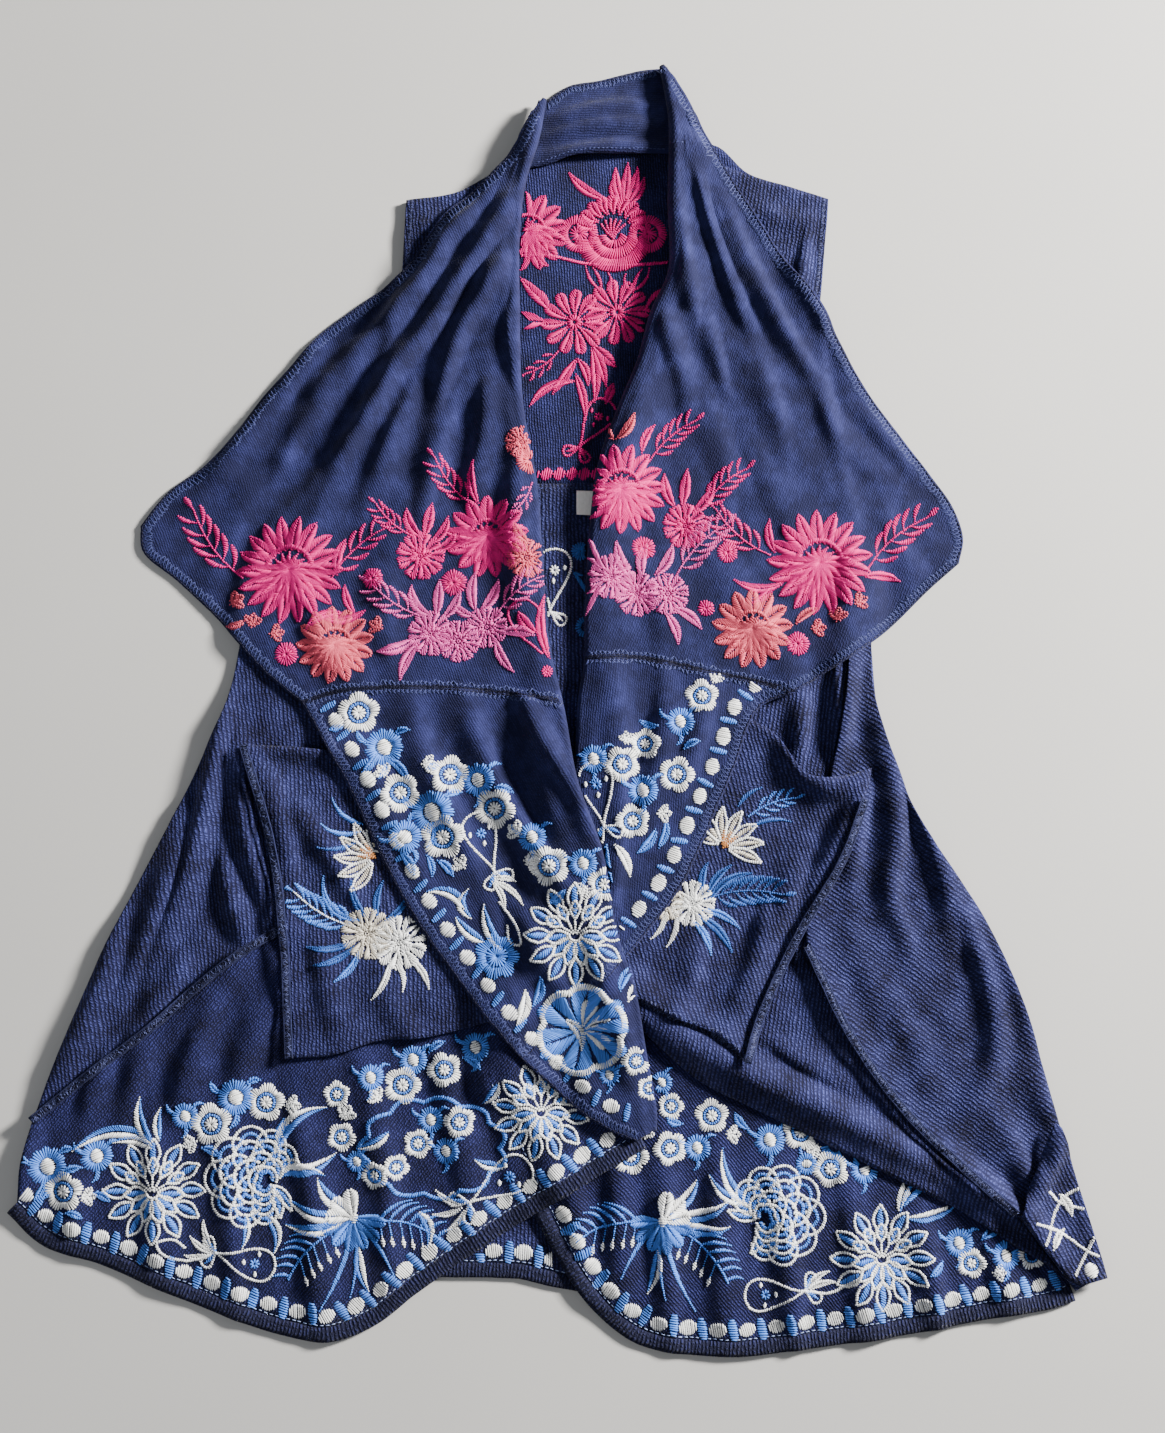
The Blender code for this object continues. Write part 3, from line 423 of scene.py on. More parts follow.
# Thread tones as linear red, green and blue
CREAM = (0.96, 0.96, 0.94)
BLUE = (0.086, 0.235, 0.730)
DEEP_BLUE = (0.036, 0.105, 0.370)
CRIMSON = (0.670, 0.009, 0.195)
ROSE = (0.670, 0.006, 0.180)
CORAL = (0.670, 0.090, 0.145)
LIGHT_PINK = (0.680, 0.084, 0.345)
AMBER = (0.560, 0.230, 0.080)
TAN = (0.700, 0.640, 0.540)
SEWING = (0.050, 0.060, 0.170)
RAW_LIGHT = (0.070, 0.082, 0.200)
# Near-black tone of the fibres and chain along seams and edges: painted shade in the seams and at the edges,
# darker than the cloth itself
EDGE_PAINTED_SHADE = (0.010, 0.010, 0.028)
RUNNING = (0.300, 0.380, 0.640)

# Embroidery as rows of a motif's name and its places, sizes, turn and tones

BACK_MOTIFS = [
    ("line", [(-32, 346), (-6, 346), (20, 340), (48, 338), (90, 341)], 1.5, ROSE),
    ("leaves", ROSE, (-8, 338, -12, 352, 3, 0.3), (38, 393, 9, 414, 4.5, 0.1), (50, 389, 43, 407, 3.8, 0.1),
     (51, 389, 46, 418, 4.0, 0.05), (53, 389, 56, 422, 4.2, 0.0), (55, 389, 64, 419, 4.0, -0.05),
     (56, 389, 69, 410, 3.8, -0.1)),
    ("bowl", 44, 364, 43, 0, ROSE),
    ("dahlia", -24, 366, 32, 10, ROSE),
    ("leaves", ROSE, (33, 318, 22, 338, 1.6, 0.1), (34, 320, 28, 336, 1.6, -0.1),
     (39, 318, 40, 332, 1.6, -0.2), (58, 318, 54, 331, 1.6, 0.2), (60, 316, 67, 335, 1.6, 0.1),
     (60, 318, 73, 336, 1.6, -0.15)),
    ("daisy", 47, 300, 25, 0, ROSE),
    ("daisy", 13, 292, 25, 20, ROSE),
    ("leaves", ROSE, (-6, 302, -30, 328, 5, 0.0), (-8, 302, -22, 318, 5, -0.1),
     (-10, 292, -36, 294, 8, 0.0), (70, 300, 96, 318, 5, 0.15)),
    ("sprig", 0, 268, -26, 250, ROSE, 4),
    ("leaves", ROSE, (15, 262, -4, 234, 4.0, 0.0), (16, 262, 24, 241, 3.5, 0.1),
     (14, 250, 22, 213, 3.5, 0.05), (13, 244, -22, 224, 3.8, -0.15), (27, 271, 29, 227, 4.2, 0.05),
     (28, 271, 38, 240, 4.0, 0.05), (28, 273, 46, 256, 5.0, 0.0), (38, 226, 44, 242, 4.0, 0.0)),
    ("ribbon", 17, 191, 44, 58, ROSE, ROSE),
    ("chain", -34, 169, 46, 170, ROSE),
    ("daisy", 74, 232, 16, 0, ROSE),
    ("sprig", 62, 250, 84, 274, ROSE, 4),
    ("ribbon", -6, 60, 50, 84, CREAM, CREAM),
    ("leaf", 12, 92, 26, 70, 4, 0.1, DEEP_BLUE),
    ("pom", 18, 108, 8, DEEP_BLUE),
    ("pom", 22, 48, 9, DEEP_BLUE),
]
LEFT_LAPEL_MOTIFS = [
    ("sprig", -246, 86, -286, 140, CRIMSON, 6),
    ("sprig", -176, 86, -136, 124, CRIMSON, 5),
    ("leaves", CRIMSON, (-172, 88, -166, 116, 4, 0.1), (-150, 60, -186, 56, 4, 0.15),
     (-158, 58, -166, 80, 3.5, 0.1), (-168, 58, -196, 44, 4, -0.15)),
    ("dahlia", -209, 92, 42, 0, CRIMSON),
    ("leaf", -244, 52, -258, 48, 3.5, 0.1, CORAL),
    ("bud", -253, 67, 10, 30, CORAL),
    ("bud", -238, 50, 9, 80, CORAL),
    ("bud", -221, 42, 9, 10, CORAL),
    ("bud", -139, 47, 9, 150, CORAL),
    ("dahlia", -173, 33, 30, 12, CORAL),
    ("pom", -211, 26, 10, CRIMSON),
    ("pom", -144, 85, 9, CRIMSON),
    ("sprig", -112, 118, -142, 144, CRIMSON, 6),
    ("leaves", CRIMSON, (-106, 118, -118, 140, 4.5, 0.15), (-104, 118, -98, 144, 4.5, 0.0),
     (-100, 114, -86, 134, 4.0, -0.15), (-96, 108, -80, 122, 4.0, -0.15)),
    ("round", -107, 103, 17, 0, CRIMSON),
    ("sprig", -64, 142, -96, 180, CRIMSON, 6),
    ("leaf", -62, 144, -66, 178, 3.5, 0.1, CRIMSON),
    ("dahlia", -55, 118, 32, 6, CRIMSON),
    ("pom", -81, 82, 11, CRIMSON),
    ("sprig", -100, 54, -146, 82, LIGHT_PINK, 6),
    ("leaves", LIGHT_PINK, (-98, 56, -114, 80, 4.5, 0.2), (-94, 56, -92, 84, 4.5, 0.0),
     (-90, 54, -76, 76, 4.0, -0.1), (-64, 60, -64, 90, 4.5, 0.1), (-60, 60, -46, 84, 4.5, -0.1),
     (-66, 56, -80, 64, 4.0, 0.1)),
    ("sprig", -48, 56, -8, 88, LIGHT_PINK, 6),
    ("leaves", LIGHT_PINK, (-112, 38, -140, 28, 5.0, 0.1), (-108, 34, -122, 6, 4.5, -0.1),
     (-44, 42, -18, 40, 5.0, 0.1), (-48, 38, -34, 12, 4.0, -0.1)),
    ("round", -99, 42, 16, 0, LIGHT_PINK),
    ("round", -77, 36, 15, 20, LIGHT_PINK),
    ("round", -55, 47, 15, 50, LIGHT_PINK),
    ("pom", -22, 178, 12, CORAL),
    ("round", -28, 192, 12, 0, CORAL),
    ("sprig", -20, 160, -34, 136, LIGHT_PINK, 3),
    ("round", -24, 100, 14, 0, CORAL),
    ("leaf", -22, 112, -34, 128, 4, 0.1, CORAL),
    ("line", [(-12, 26), (-34, 46), (-38, 60), (-26, 68), (-14, 60), (-10, 40)], 1.1, CRIMSON),
    ("leaves", CRIMSON, (-16, 42, -30, 58, 5, 0.1), (-6, 22, -10, 72, 4, 0.1)),
    ("pom", -8, 12, 5, CRIMSON),
]
RIGHT_LAPEL_MOTIFS = [
    ("sprig", 72, 178, 108, 210, CRIMSON, 6),
    ("leaf", 66, 184, 76, 206, 3.5, 0.1, CRIMSON),
    ("leaves", CORAL, (44, 194, 36, 214, 4, 0.1), (46, 194, 60, 214, 4, -0.1)),
    ("leaves", CRIMSON, (92, 142, 84, 168, 4.5, 0.1), (98, 142, 102, 172, 4.5, 0.0),
     (106, 138, 122, 158, 4.5, -0.1)),
    ("sprig", 112, 138, 148, 172, CRIMSON, 6),
    ("round", 100, 127, 16, 0, CRIMSON),
    ("dahlia", 50, 155, 35, 4, CRIMSON),
    ("sprig", 166, 104, 124, 140, CRIMSON, 6),
    ("leaf", 170, 106, 166, 132, 3.5, 0.1, CRIMSON),
    ("sprig", 242, 92, 290, 134, CRIMSON, 6),
    ("leaves", CRIMSON, (176, 82, 138, 84, 4, 0.15), (168, 80, 152, 66, 3.5, 0.1),
     (240, 86, 268, 84, 4, 0.1)),
    ("dahlia", 205, 98, 41, 8, CRIMSON),
    ("pom", 67, 109, 10, CRIMSON),
    ("pom", 133, 106, 9, CRIMSON),
    ("pom", 187, 34, 10, CRIMSON),
    ("pom", 116, 62, 7, CRIMSON),
    ("sprig", 92, 86, 132, 128, LIGHT_PINK, 7),
    ("leaves", LIGHT_PINK, (66, 86, 70, 112, 4.5, 0.1), (58, 86, 46, 114, 4.5, 0.1),
     (76, 88, 90, 112, 4.5, -0.1), (36, 92, 24, 118, 4.5, 0.1), (34, 80, 22, 56, 4.5, -0.1),
     (90, 62, 112, 46, 4.5, 0.1), (84, 58, 94, 34, 4.0, 0.1)),
    ("round", 42, 86, 16, 0, LIGHT_PINK),
    ("round", 62, 73, 16, 30, LIGHT_PINK),
    ("round", 86, 73, 15, 10, LIGHT_PINK),
    ("dahlia", 152, 46, 31, 5, CORAL),
    ("leaf", 186, 50, 204, 62, 3.5, 0.1, CORAL),
    ("bud", 234, 66, 9, 30, CORAL),
    ("bud", 218, 54, 9, 80, CORAL),
    ("bud", 201, 46, 9, 10, CORAL),
]
LEFT_POINT_MOTIFS = [
    ("leaves", BLUE, (-165, -30, -176, -33, 3.5, 0.0), (-134, -54, -114, -74, 3.5, 0.1),
     (-140, -52, -150, -66, 3.5, 0.1), (-100, -64, -92, -62, 3.5, 0.1)),
    ("blue_flower", -134, -47, 16, 0),
    ("blossom", -154, -20, 17, 20),
    ("bud", -165, 0, 9, 60),
    ("bud", -133, -67, 9, 130),
    ("bud", -101, -60, 9, 0),
    ("blue_flower", -61, -72, 14, 0),
    ("leaf", -48, -78, -34, -82, 3.5, 0.1, BLUE),
    ("blossom", -121, -82, 16, 50),
    ("blossom", -83, -68, 16, 10),
    ("blue_flower", -96, -97, 18, 0),
    ("blue_flower", -117, -116, 14, 30),
    ("leaves", BLUE, (-120, -128, -110, -146, 4, 0.1), (-92, -134, -80, -146, 3.5, 0.1),
     (-100, -130, -96, -146, 3.0, 0.1)),
    ("blossom", -88, -116, 18, 15),
    ("bud", -73, -138, 9, 140),
    ("blossom", -48, -94, 17, 60),
    ("bud", -30, -112, 10, 150),
    ("blue_flower", -19, -116, 12, 0),
    ("bud", -22, -134, 10, 0),
    ("blossom", -6, -138, 16, 40),
    ("blue_flower", 20, -136, 12, 0),
    ("blossom", 36, -152, 14, 10),
    ("bud", 22, -156, 8, 200),
    ("leaf", 6, -156, -6, -166, 4, 0.1, BLUE),
    ("ribbon", -48, -143, 48, 110, CREAM, BLUE),
    ("leaves", CREAM, (-48, -148, -32, -150, 2.5, 0.1), (-48, -150, -26, -168, 2.5, 0.1),
     (-50, -150, -40, -172, 2.5, 0.1)),
    ("line", [(-44, -166), (-30, -186), (-28, -198), (-36, -196), (-38, -184)], 1.1, CREAM),
    ("two_tone", -70, -172, -100, -158, 4.0, -0.2),
    ("two_tone", -66, -178, -68, -156, 3.0, 0.3),
    ("two_tone", -56, -196, -78, -176, 4.0, 0.1),
    ("two_tone", -42, -202, -56, -168, 4.0, 0.1),
    ("blue_bloom", -46, -207, 19, 0),
    ("lotus", 14, -190, 38, 0),
    ("leaf", -24, -232, -30, -258, 5, 0.1, CREAM),
    ("leaf", -12, -222, -18, -244, 4, 0.1, BLUE),
    ("peony", 19, -262, 34, 20, BLUE, CREAM),
    ("leaf", 48, -232, 58, -214, 4, 0.1, BLUE),
    ("leaf", 54, -240, 66, -226, 4, 0.1, CREAM),
    ("blossom", 60, -285, 12, 30),
    ("blue_flower", 40, -296, 9, 0),
    ("blossom", 70, -306, 9, 0),
]
RIGHT_POINT_MOTIFS = [
    ("blossom", 112, -7, 13, 20),
    ("bud", 122, 6, 8, 60),
    ("blue_flower", 95, -27, 12, 0),
    ("blossom", 68, -44, 12, 10),
    ("bud", 54, -42, 8, 100),
    ("blossom", 50, -60, 14, 50),
    ("blue_flower", 28, -56, 12, 0),
    ("blossom", 92, -68, 15, 0),
    ("leaf", 78, -30, 64, -26, 3, 0.1, BLUE),
    ("blue_flower", 66, -80, 13, 0),
    ("leaf", 98, -48, 110, -42, 3, 0.1, BLUE),
    ("blossom", 58, -104, 14, 30),
    ("bud", 80, -98, 9, 0),
    ("leaves", BLUE, (76, -110, 62, -128, 4, 0.1), (84, -104, 78, -124, 3.5, 0.1)),
    ("ribbon", 36, -108, 50, 100, CREAM, BLUE),
    ("leaf", 44, -122, 56, -146, 4, 0.1, CREAM),
    ("leaf", 38, -122, 42, -150, 4, -0.1, BLUE),
]
RIGHT_POCKET_MOTIFS = [
    ("half_lotus", 128, -124, 32, 62, AMBER),
    ("sprig", 148, -100, 184, -86, BLUE, 5),
    ("leaves", DEEP_BLUE, (150, -108, 180, -104, 2.0, 0.1), (140, -92, 158, -78, 2.0, 0.1)),
    ("sprig", 114, -164, 172, -160, DEEP_BLUE, 8),
    ("leaves", DEEP_BLUE, (112, -160, 116, -136, 3.0, 0.1), (116, -160, 134, -138, 3.0, 0.1),
     (118, -164, 150, -144, 3.0, 0.15), (108, -176, 134, -204, 3.5, 0.1)),
    ("leaves", BLUE, (104, -180, 118, -206, 3.0, 0.1), (112, -172, 140, -186, 3.0, 0.1)),
    ("round", 104, -167, 16, 0, CREAM),
    ("round", 84, -166, 13, 20, TAN),
    ("leaves", CREAM, (84, -174, 72, -194, 2.4, 0.1), (92, -176, 84, -200, 2.4, 0.1)),
]
LEFT_POCKET_MOTIFS = [
    ("half_lotus", -140, -132, 32, 150, AMBER),
    ("leaves", BLUE, (-150, -106, -174, -86, 2.2, 0.15), (-152, -112, -182, -106, 2.2, 0.15),
     (-146, -100, -158, -72, 2.2, 0.1)),
    ("leaf", -154, -120, -184, -124, 2.0, 0.1, DEEP_BLUE),
    ("stemmed_sprig", -150, -186, -202, -158, BLUE, 8),
    ("leaf", -150, -180, -180, -146, 2.8, 0.25, BLUE),
    ("leaves", DEEP_BLUE, (-146, -178, -158, -150, 2.8, 0.1), (-138, -178, -134, -150, 2.8, 0.1),
     (-132, -180, -114, -160, 2.8, -0.1), (-156, -196, -192, -200, 3.0, 0.1),
     (-156, -200, -186, -214, 3.0, 0.1)),
    ("leaf", -152, -204, -170, -226, 3.0, 0.1, BLUE),
    ("round", -146, -190, 18, 0, TAN),
    ("round", -121, -197, 19, 20, CREAM),
    ("leaves", CREAM, (-128, -210, -142, -240, 2.6, 0.1), (-122, -212, -118, -234, 2.4, 0.1),
     (-114, -208, -98, -232, 2.6, 0.1)),
    ("bud", -98, -182, 7, 0, TAN),
]
LEFT_HEM_MOTIFS = [
    ("two_tone", -307, -348, -368, -354, 4.5, -0.18),
    ("two_tone", -306, -350, -318, -314, 4.0, 0.15),
    ("two_tone", -306, -352, -338, -348, 3.5, -0.12),
    ("two_tone", -302, -346, -302, -322, 3.0, 0.1),
    ("blue_flower", -387, -366, 16, 0),
    ("leaves", BLUE, (-376, -372, -360, -366, 3, 0.1), (-390, -378, -396, -390, 3, 0.1)),
    ("blue_flower", -350, -358, 13, 0),
    ("blossom", -374, -384, 15, 20),
    ("bud", -358, -388, 9, 0),
    ("leaves", BLUE, (-352, -386, -340, -392, 3.5, 0.1), (-372, -400, -360, -404, 3, 0.1)),
    ("lotus", -306, -384, 38, 0),
    ("blue_flower", -283, -328, 11, 0),
    ("blue_flower", -245, -314, 15, 0),
    ("blossom", -263, -334, 15, 30),
    ("bud", -277, -348, 9, 200),
    ("leaf", -270, -352, -256, -358, 3.5, 0.1, BLUE),
    ("blossom", -222, -318, 14, 10),
    ("bud", -204, -320, 10, 0),
    ("leaf", -208, -330, -214, -342, 3.5, 0.1, BLUE),
    ("fan", -221, -377, 47, 160),
    ("two_tone", -222, -402, -214, -430, 3.5, 0.2),
    ("two_tone", -236, -402, -238, -426, 2.5, 0.1),
    ("two_tone", -214, -358, -176, -322, 4.5, 0.2),
    ("two_tone", -214, -366, -168, -356, 4.5, -0.15),
    ("two_tone", -214, -374, -176, -372, 4.0, 0.15),
    ("leaf", -212, -350, -200, -334, 3.5, 0.1, BLUE),
    ("ribbon", -258, -430, 46, -16, CREAM, BLUE),
    ("leaves", CREAM, (-260, -430, -278, -418, 2.5, 0.1), (-260, -428, -268, -406, 2.5, 0.1),
     (-262, -431, -282, -432, 2.5, 0.1)),
    ("line", [(-262, -432), (-280, -436), (-298, -430), (-302, -422), (-290, -420), (-282, -426)], 1.2,
     CREAM),
    ("plume", -154, -404, 56, -90, 1),
    ("blossom", -168, -312, 11, 20),
    ("bud", -162, -328, 10, 60),
    ("blossom", -164, -344, 11, 60),
    ("blue_flower", -152, -362, 9, 10),
    ("blossom", -138, -372, 10, 40),
    ("blue_flower", -142, -299, 11, 0),
    ("blue_flower", -110, -286, 12, 0),
    ("blossom", -118, -305, 14, 0),
    ("bud", -136, -314, 9, 140),
    ("blossom", -86, -293, 13, 40),
    ("blue_flower", -62, -276, 12, 0),
    ("leaves", BLUE, (-72, -284, -58, -292, 3.5, 0.1), (-98, -280, -86, -272, 3, 0.1)),
    ("cloud", -94, -352, 50, 34),
    ("blossom", -106, -349, 12, 0),
    ("blossom", -74, -332, 12, 30),
    ("blossom", -122, -366, 10, 60),
    ("blue_flower", -96, -331, 11, 0),
    ("blue_flower", -84, -354, 11, 0),
    ("two_tone", -128, -340, -152, -352, 3.5, 0.1),
    ("two_tone", -44, -302, -56, -318, 3.5, 0.1),
    ("lotus", -12, -324, 36, 20),
    ("leaf", 20, -318, 34, -326, 4, 0.1, BLUE),
    ("ribbon", -66, -392, 54, 32, CREAM, BLUE),
    ("leaves", CREAM, (-72, -394, -92, -384, 2.5, 0.1), (-72, -396, -94, -402, 2.5, 0.1),
     (-70, -398, -84, -414, 2.5, 0.1)),
    ("two_tone", -106, -400, -98, -426, 3.5, 0.2),
    ("two_tone", -40, -366, -62, -360, 3.5, 0.1),
]
RIGHT_HEM_MOTIFS = [
    ("blue_flower", 80, -303, 9, 20),
    ("blossom", 87, -321, 10, 0),
    ("plume", 80, -405, 56, -90, -1),
    ("blossom", 56, -358, 14, 0),
    ("bud", 66, -342, 9, 60),
    ("blossom", 86, -352, 13, 40),
    ("blue_flower", 107, -352, 11, 0),
    ("blossom", 118, -328, 13, 20),
    ("bud", 132, -342, 9, 0),
    ("leaf", 96, -334, 84, -330, 3.5, 0.1, BLUE),
    ("blue_flower", 162, -346, 13, 0),
    ("leaf", 146, -338, 136, -326, 3.5, 0.1, BLUE),
    ("blossom", 186, -340, 14, 10),
    ("blue_flower", 190, -364, 9, 70),
    ("bud", 198, -352, 9, 200),
    ("blue_flower", 212, -350, 12, 0),
    ("blossom", 208, -368, 13, 40),
    ("blue_flower", 234, -368, 12, 0),
    ("fan", 158, -404, 46, 16),
    ("two_tone", 150, -398, 126, -352, 4.0, 0.15),
    ("two_tone", 148, -394, 116, -372, 3.5, 0.15),
    ("lotus", 246, -434, 38, 0),
    ("two_tone", 262, -396, 302, -372, 4.5, 0.15),
    ("two_tone", 260, -400, 282, -368, 3.5, 0.15),
    ("two_tone", 266, -404, 306, -392, 3.5, -0.1),
    ("ribbon", 188, -458, 46, 186, CREAM, BLUE),
    ("leaves", CREAM, (190, -456, 206, -444, 2.5, 0.1), (190, -458, 212, -452, 2.5, 0.1)),
    ("line", [(190, -459), (206, -460), (222, -452), (230, -446)], 1.3, CREAM),
    ("blue_flower", 305, -423, 12, 0),
    ("blossom", 314, -438, 12, 0),
    ("bud", 332, -444, 8, 0),
    ("blue_flower", 340, -432, 12, 0),
    ("blossom", 360, -432, 11, 30),
    ("leaves", BLUE, (292, -436, 282, -446, 3.5, 0.1), (322, -420, 336, -414, 3.5, 0.1)),
]
GODET_MOTIFS = [
    ("leaf", 391, -357, 401, -382, 4, 0.1, CREAM),
    ("line", [(373, -384), (383, -393), (408, -398)], 1.3, CREAM),
    ("line", [(401, -379), (383, -390), (368, -422)], 1.3, CREAM),
    ("line", [(361, -406), (379, -413), (401, -428), (413, -433)], 1.3, CREAM),
    ("line", [(408, -397), (406, -415), (391, -445)], 1.3, CREAM),
    ("leaves", CREAM, (381, -386, 390, -402, 3.5, 0.1), (374, -426, 384, -412, 3.5, 0.1)),
    ("dot", 403, -442, 6.0, 30, CREAM),
]


def smooth(points, steps=24):
    """A smooth curve through the points, with as many short steps between each two."""
    place = np.array(points, float)
    if len(place) == 2:
        share = np.linspace(0, 1, steps)[:, None]
        return place[0] * (1 - share) + place[1] * share
    chord = np.sqrt(np.linalg.norm(np.diff(place, axis=0), axis=1))
    knot = np.concatenate([[0], np.cumsum(chord)])
    gap = np.diff(knot)[:, None]
    slope = np.diff(place, axis=0) / gap
    middle = (slope[:-1] * gap[1:] + slope[1:] * gap[:-1]) / (gap[:-1] + gap[1:])
    tangent = np.concatenate([slope[:1], middle, slope[-1:]])[:, None]
    gap = gap[:, None]
    t = np.linspace(0, 1, steps, endpoint=False)[None, :, None]
    curve = ((2 * t**3 - 3 * t**2 + 1) * place[:-1, None] + (t**3 - 2 * t**2 + t) * gap * tangent[:-1]
             + (3 * t**2 - 2 * t**3) * place[1:, None] + (t**3 - t**2) * gap * tangent[1:])
    return np.vstack([curve.reshape(-1, 2), place[-1:]])


def run_along(curve):
    """The distance travelled along a curve, at each of its points."""
    return np.concatenate([[0], np.cumsum(np.linalg.norm(np.diff(curve, axis=0), axis=1))])


def even(curve, count):
    """The same curve at count + 1 evenly spaced points."""
    run = run_along(curve)
    at = np.linspace(0, run[-1], count + 1)
    return np.stack([np.interp(at, run, curve[:, k]) for k in range(curve.shape[1])], axis=1)


def edge(points, count):
    """A smooth outline through the points, at count + 1 evenly spaced points."""
    return even(smooth(points), count)


def edge_to(points, end, count):
    """An outline whose last point is moved to another end."""
    return edge(points[:-1] + [tuple(end)], count)


def cells(points, cell=CELL):
    """How many cells of about this size fit along an outline."""
    return max(2, round(run_along(smooth(points))[-1] / cell))


def sideways(curve, distance):
    """The curve moved to its left by a distance, which may differ from point to point."""
    run = np.gradient(curve, axis=0)
    run /= np.linalg.norm(run, axis=1)[:, None]
    left = np.stack([-run[:, 1], run[:, 0]], axis=1)
    return curve + left * np.reshape(distance, (-1, 1))


def patch(first_row, last_row, first_column, last_column):
    """A Coons patch between four edges that share their corners; rows run from first to last row."""
    down = np.linspace(0, 1, len(first_column))[:, None, None]
    across = np.linspace(0, 1, len(first_row))[None, :, None]
    between_rows = (1 - down) * first_row[None] + down * last_row[None]
    between_columns = (1 - across) * first_column[:, None] + across * last_column[:, None]
    corners = ((1 - across) * (1 - down) * first_row[0] + across * (1 - down) * first_row[-1]
               + (1 - across) * down * last_row[0] + across * down * last_row[-1])
    return between_rows + between_columns - corners


def inset(grid, distance):
    """The grid with its outer points moved in by a distance."""
    out = grid.copy()
    for moved, source in ((out, grid), (out.swapaxes(0, 1), grid.swapaxes(0, 1))):
        for rim, inner in ((0, 1), (-1, -2)):
            step = source[inner] - source[rim]
            moved[rim] += step * distance / np.linalg.norm(step[:, :2], axis=1)[:, None]
    return out


def relief(xy, folds):
    """The height that the folds add: bent ridges that fade at their ends and are steeper on one side."""
    places = xy.reshape(-1, 2)
    height = np.zeros(len(places))
    for number, (points, half_width, tall) in enumerate(folds):
        crest = edge(points, max(4, round(run_along(smooth(points))[-1] / FOLD_STEP)))
        way = np.gradient(crest, axis=0)
        way /= np.linalg.norm(way, axis=1)[:, None]
        nearest = np.argmin(((places[:, None] - crest[None]) ** 2).sum(axis=-1), axis=1)
        off = places - crest[nearest]
        way = way[nearest]
        across = way[:, 0] * off[:, 1] - way[:, 1] * off[:, 0]
        beyond = np.abs((off * way).sum(axis=1)) * ((nearest == 0) | (nearest == len(crest) - 1))
        lean = 1 if number % 2 else -1
        width = half_width * (1 + FOLD_LEAN * lean * np.sign(across))
        share = nearest / (len(crest) - 1)
        width = width * (1 + FOLD_SPREADS * lean * (2 * share - 1))
        swell = FOLD_END + (1 - FOLD_END) * np.sin(math.pi * share) ** FOLD_SWELL
        fade = np.exp(-(across / width) ** 2 - (beyond / (FOLD_FADE * half_width)) ** 2)
        ridge = FOLD_RISE * tall * swell * fade
        height = np.maximum(height, ridge) + FOLD_ADDS * np.minimum(height, ridge)
    return height.reshape(xy.shape[:-1])


def ripple(xy, turn, wavelength, tall, seed):
    """Gentle uneven waves whose crests run at a turn from the X axis, in degrees."""
    random = np.random.default_rng(seed)
    total = np.zeros(xy.shape[:-1])
    for _ in range(RIPPLE_WAVES):
        angle = math.radians(turn + 90 + random.normal(0, RIPPLE_TURN))
        size = wavelength * random.uniform(*RIPPLE_SIZE)
        phase = random.uniform(0, 2 * math.pi)
        drift = random.uniform(*RIPPLE_DRIFT) * wavelength
        across = xy @ np.array([math.cos(angle), math.sin(angle)])
        along = xy @ np.array([-math.sin(angle), math.cos(angle)])
        strength = 0.5 + 0.5 * np.sin(2 * math.pi * along / drift + 3 * phase)
        bend = RIPPLE_BEND * np.sin(2 * math.pi * along / (drift * RIPPLE_BEND_LENGTH) + phase)
        total += strength * np.sin(2 * math.pi * (across / size + bend) + phase)
    return tall * (total / RIPPLE_WAVES + RIPPLE_LIFT)


def slope_stretch(grid):
    """How much thicker a sloping sheet measures straight up, at each of its points."""
    level = np.abs(grid_normals(grid)[..., 2])
    return 1 / np.clip(level, STEEPEST, 1.0)


def unit(vectors):
    """The vectors with a length of one."""
    return vectors / np.maximum(np.linalg.norm(vectors, axis=-1), 1e-9)[..., None]


def grid_normals(grid):
    """The unit normal at each point of a grid."""
    return unit(np.cross(np.gradient(grid, axis=1), np.gradient(grid, axis=0)))


def grid_cells(grid):
    """The cells of a grid, each as the numbers of its four corners."""
    rows, columns = grid.shape[:2]
    number = np.arange(rows * columns).reshape(rows, columns)
    quads = np.stack([number[:-1, :-1], number[1:, :-1], number[1:, 1:], number[:-1, 1:]], axis=-1)
    return number, quads.reshape(-1, 4)


def fine_points(grid):
    """Points spread over the two flat triangles of each cell, closer together than the raster."""
    size = max(np.linalg.norm(np.diff(grid[..., :2], axis=0), axis=-1).max(),
               np.linalg.norm(np.diff(grid[..., :2], axis=1), axis=-1).max())
    count = int(math.ceil(size / (FINER_THAN_PITCH * PITCH))) + 1
    across, down = np.meshgrid(np.linspace(0, 1, count), np.linspace(0, 1, count))
    across = across.ravel()[None, None, :, None]
    down = down.ravel()[None, None, :, None]
    first = grid[:-1, :-1, None]
    beside = grid[:-1, 1:, None]
    below = grid[1:, :-1, None]
    opposite = grid[1:, 1:, None]
    by_side = first + across * (beside - first) + down * (opposite - beside)
    by_foot = first + down * (below - first) + across * (opposite - below)
    return np.where(across >= down, by_side, by_foot)


def on_floor(flat):
    """A flat grid as points on the floor."""
    return np.concatenate([flat, np.zeros(flat.shape[:2] + (1,))], axis=-1)


def on_table(points):
    """Points in millimetres as metres from the origin."""
    return (points - np.array([*CENTRE, 0])) * MM


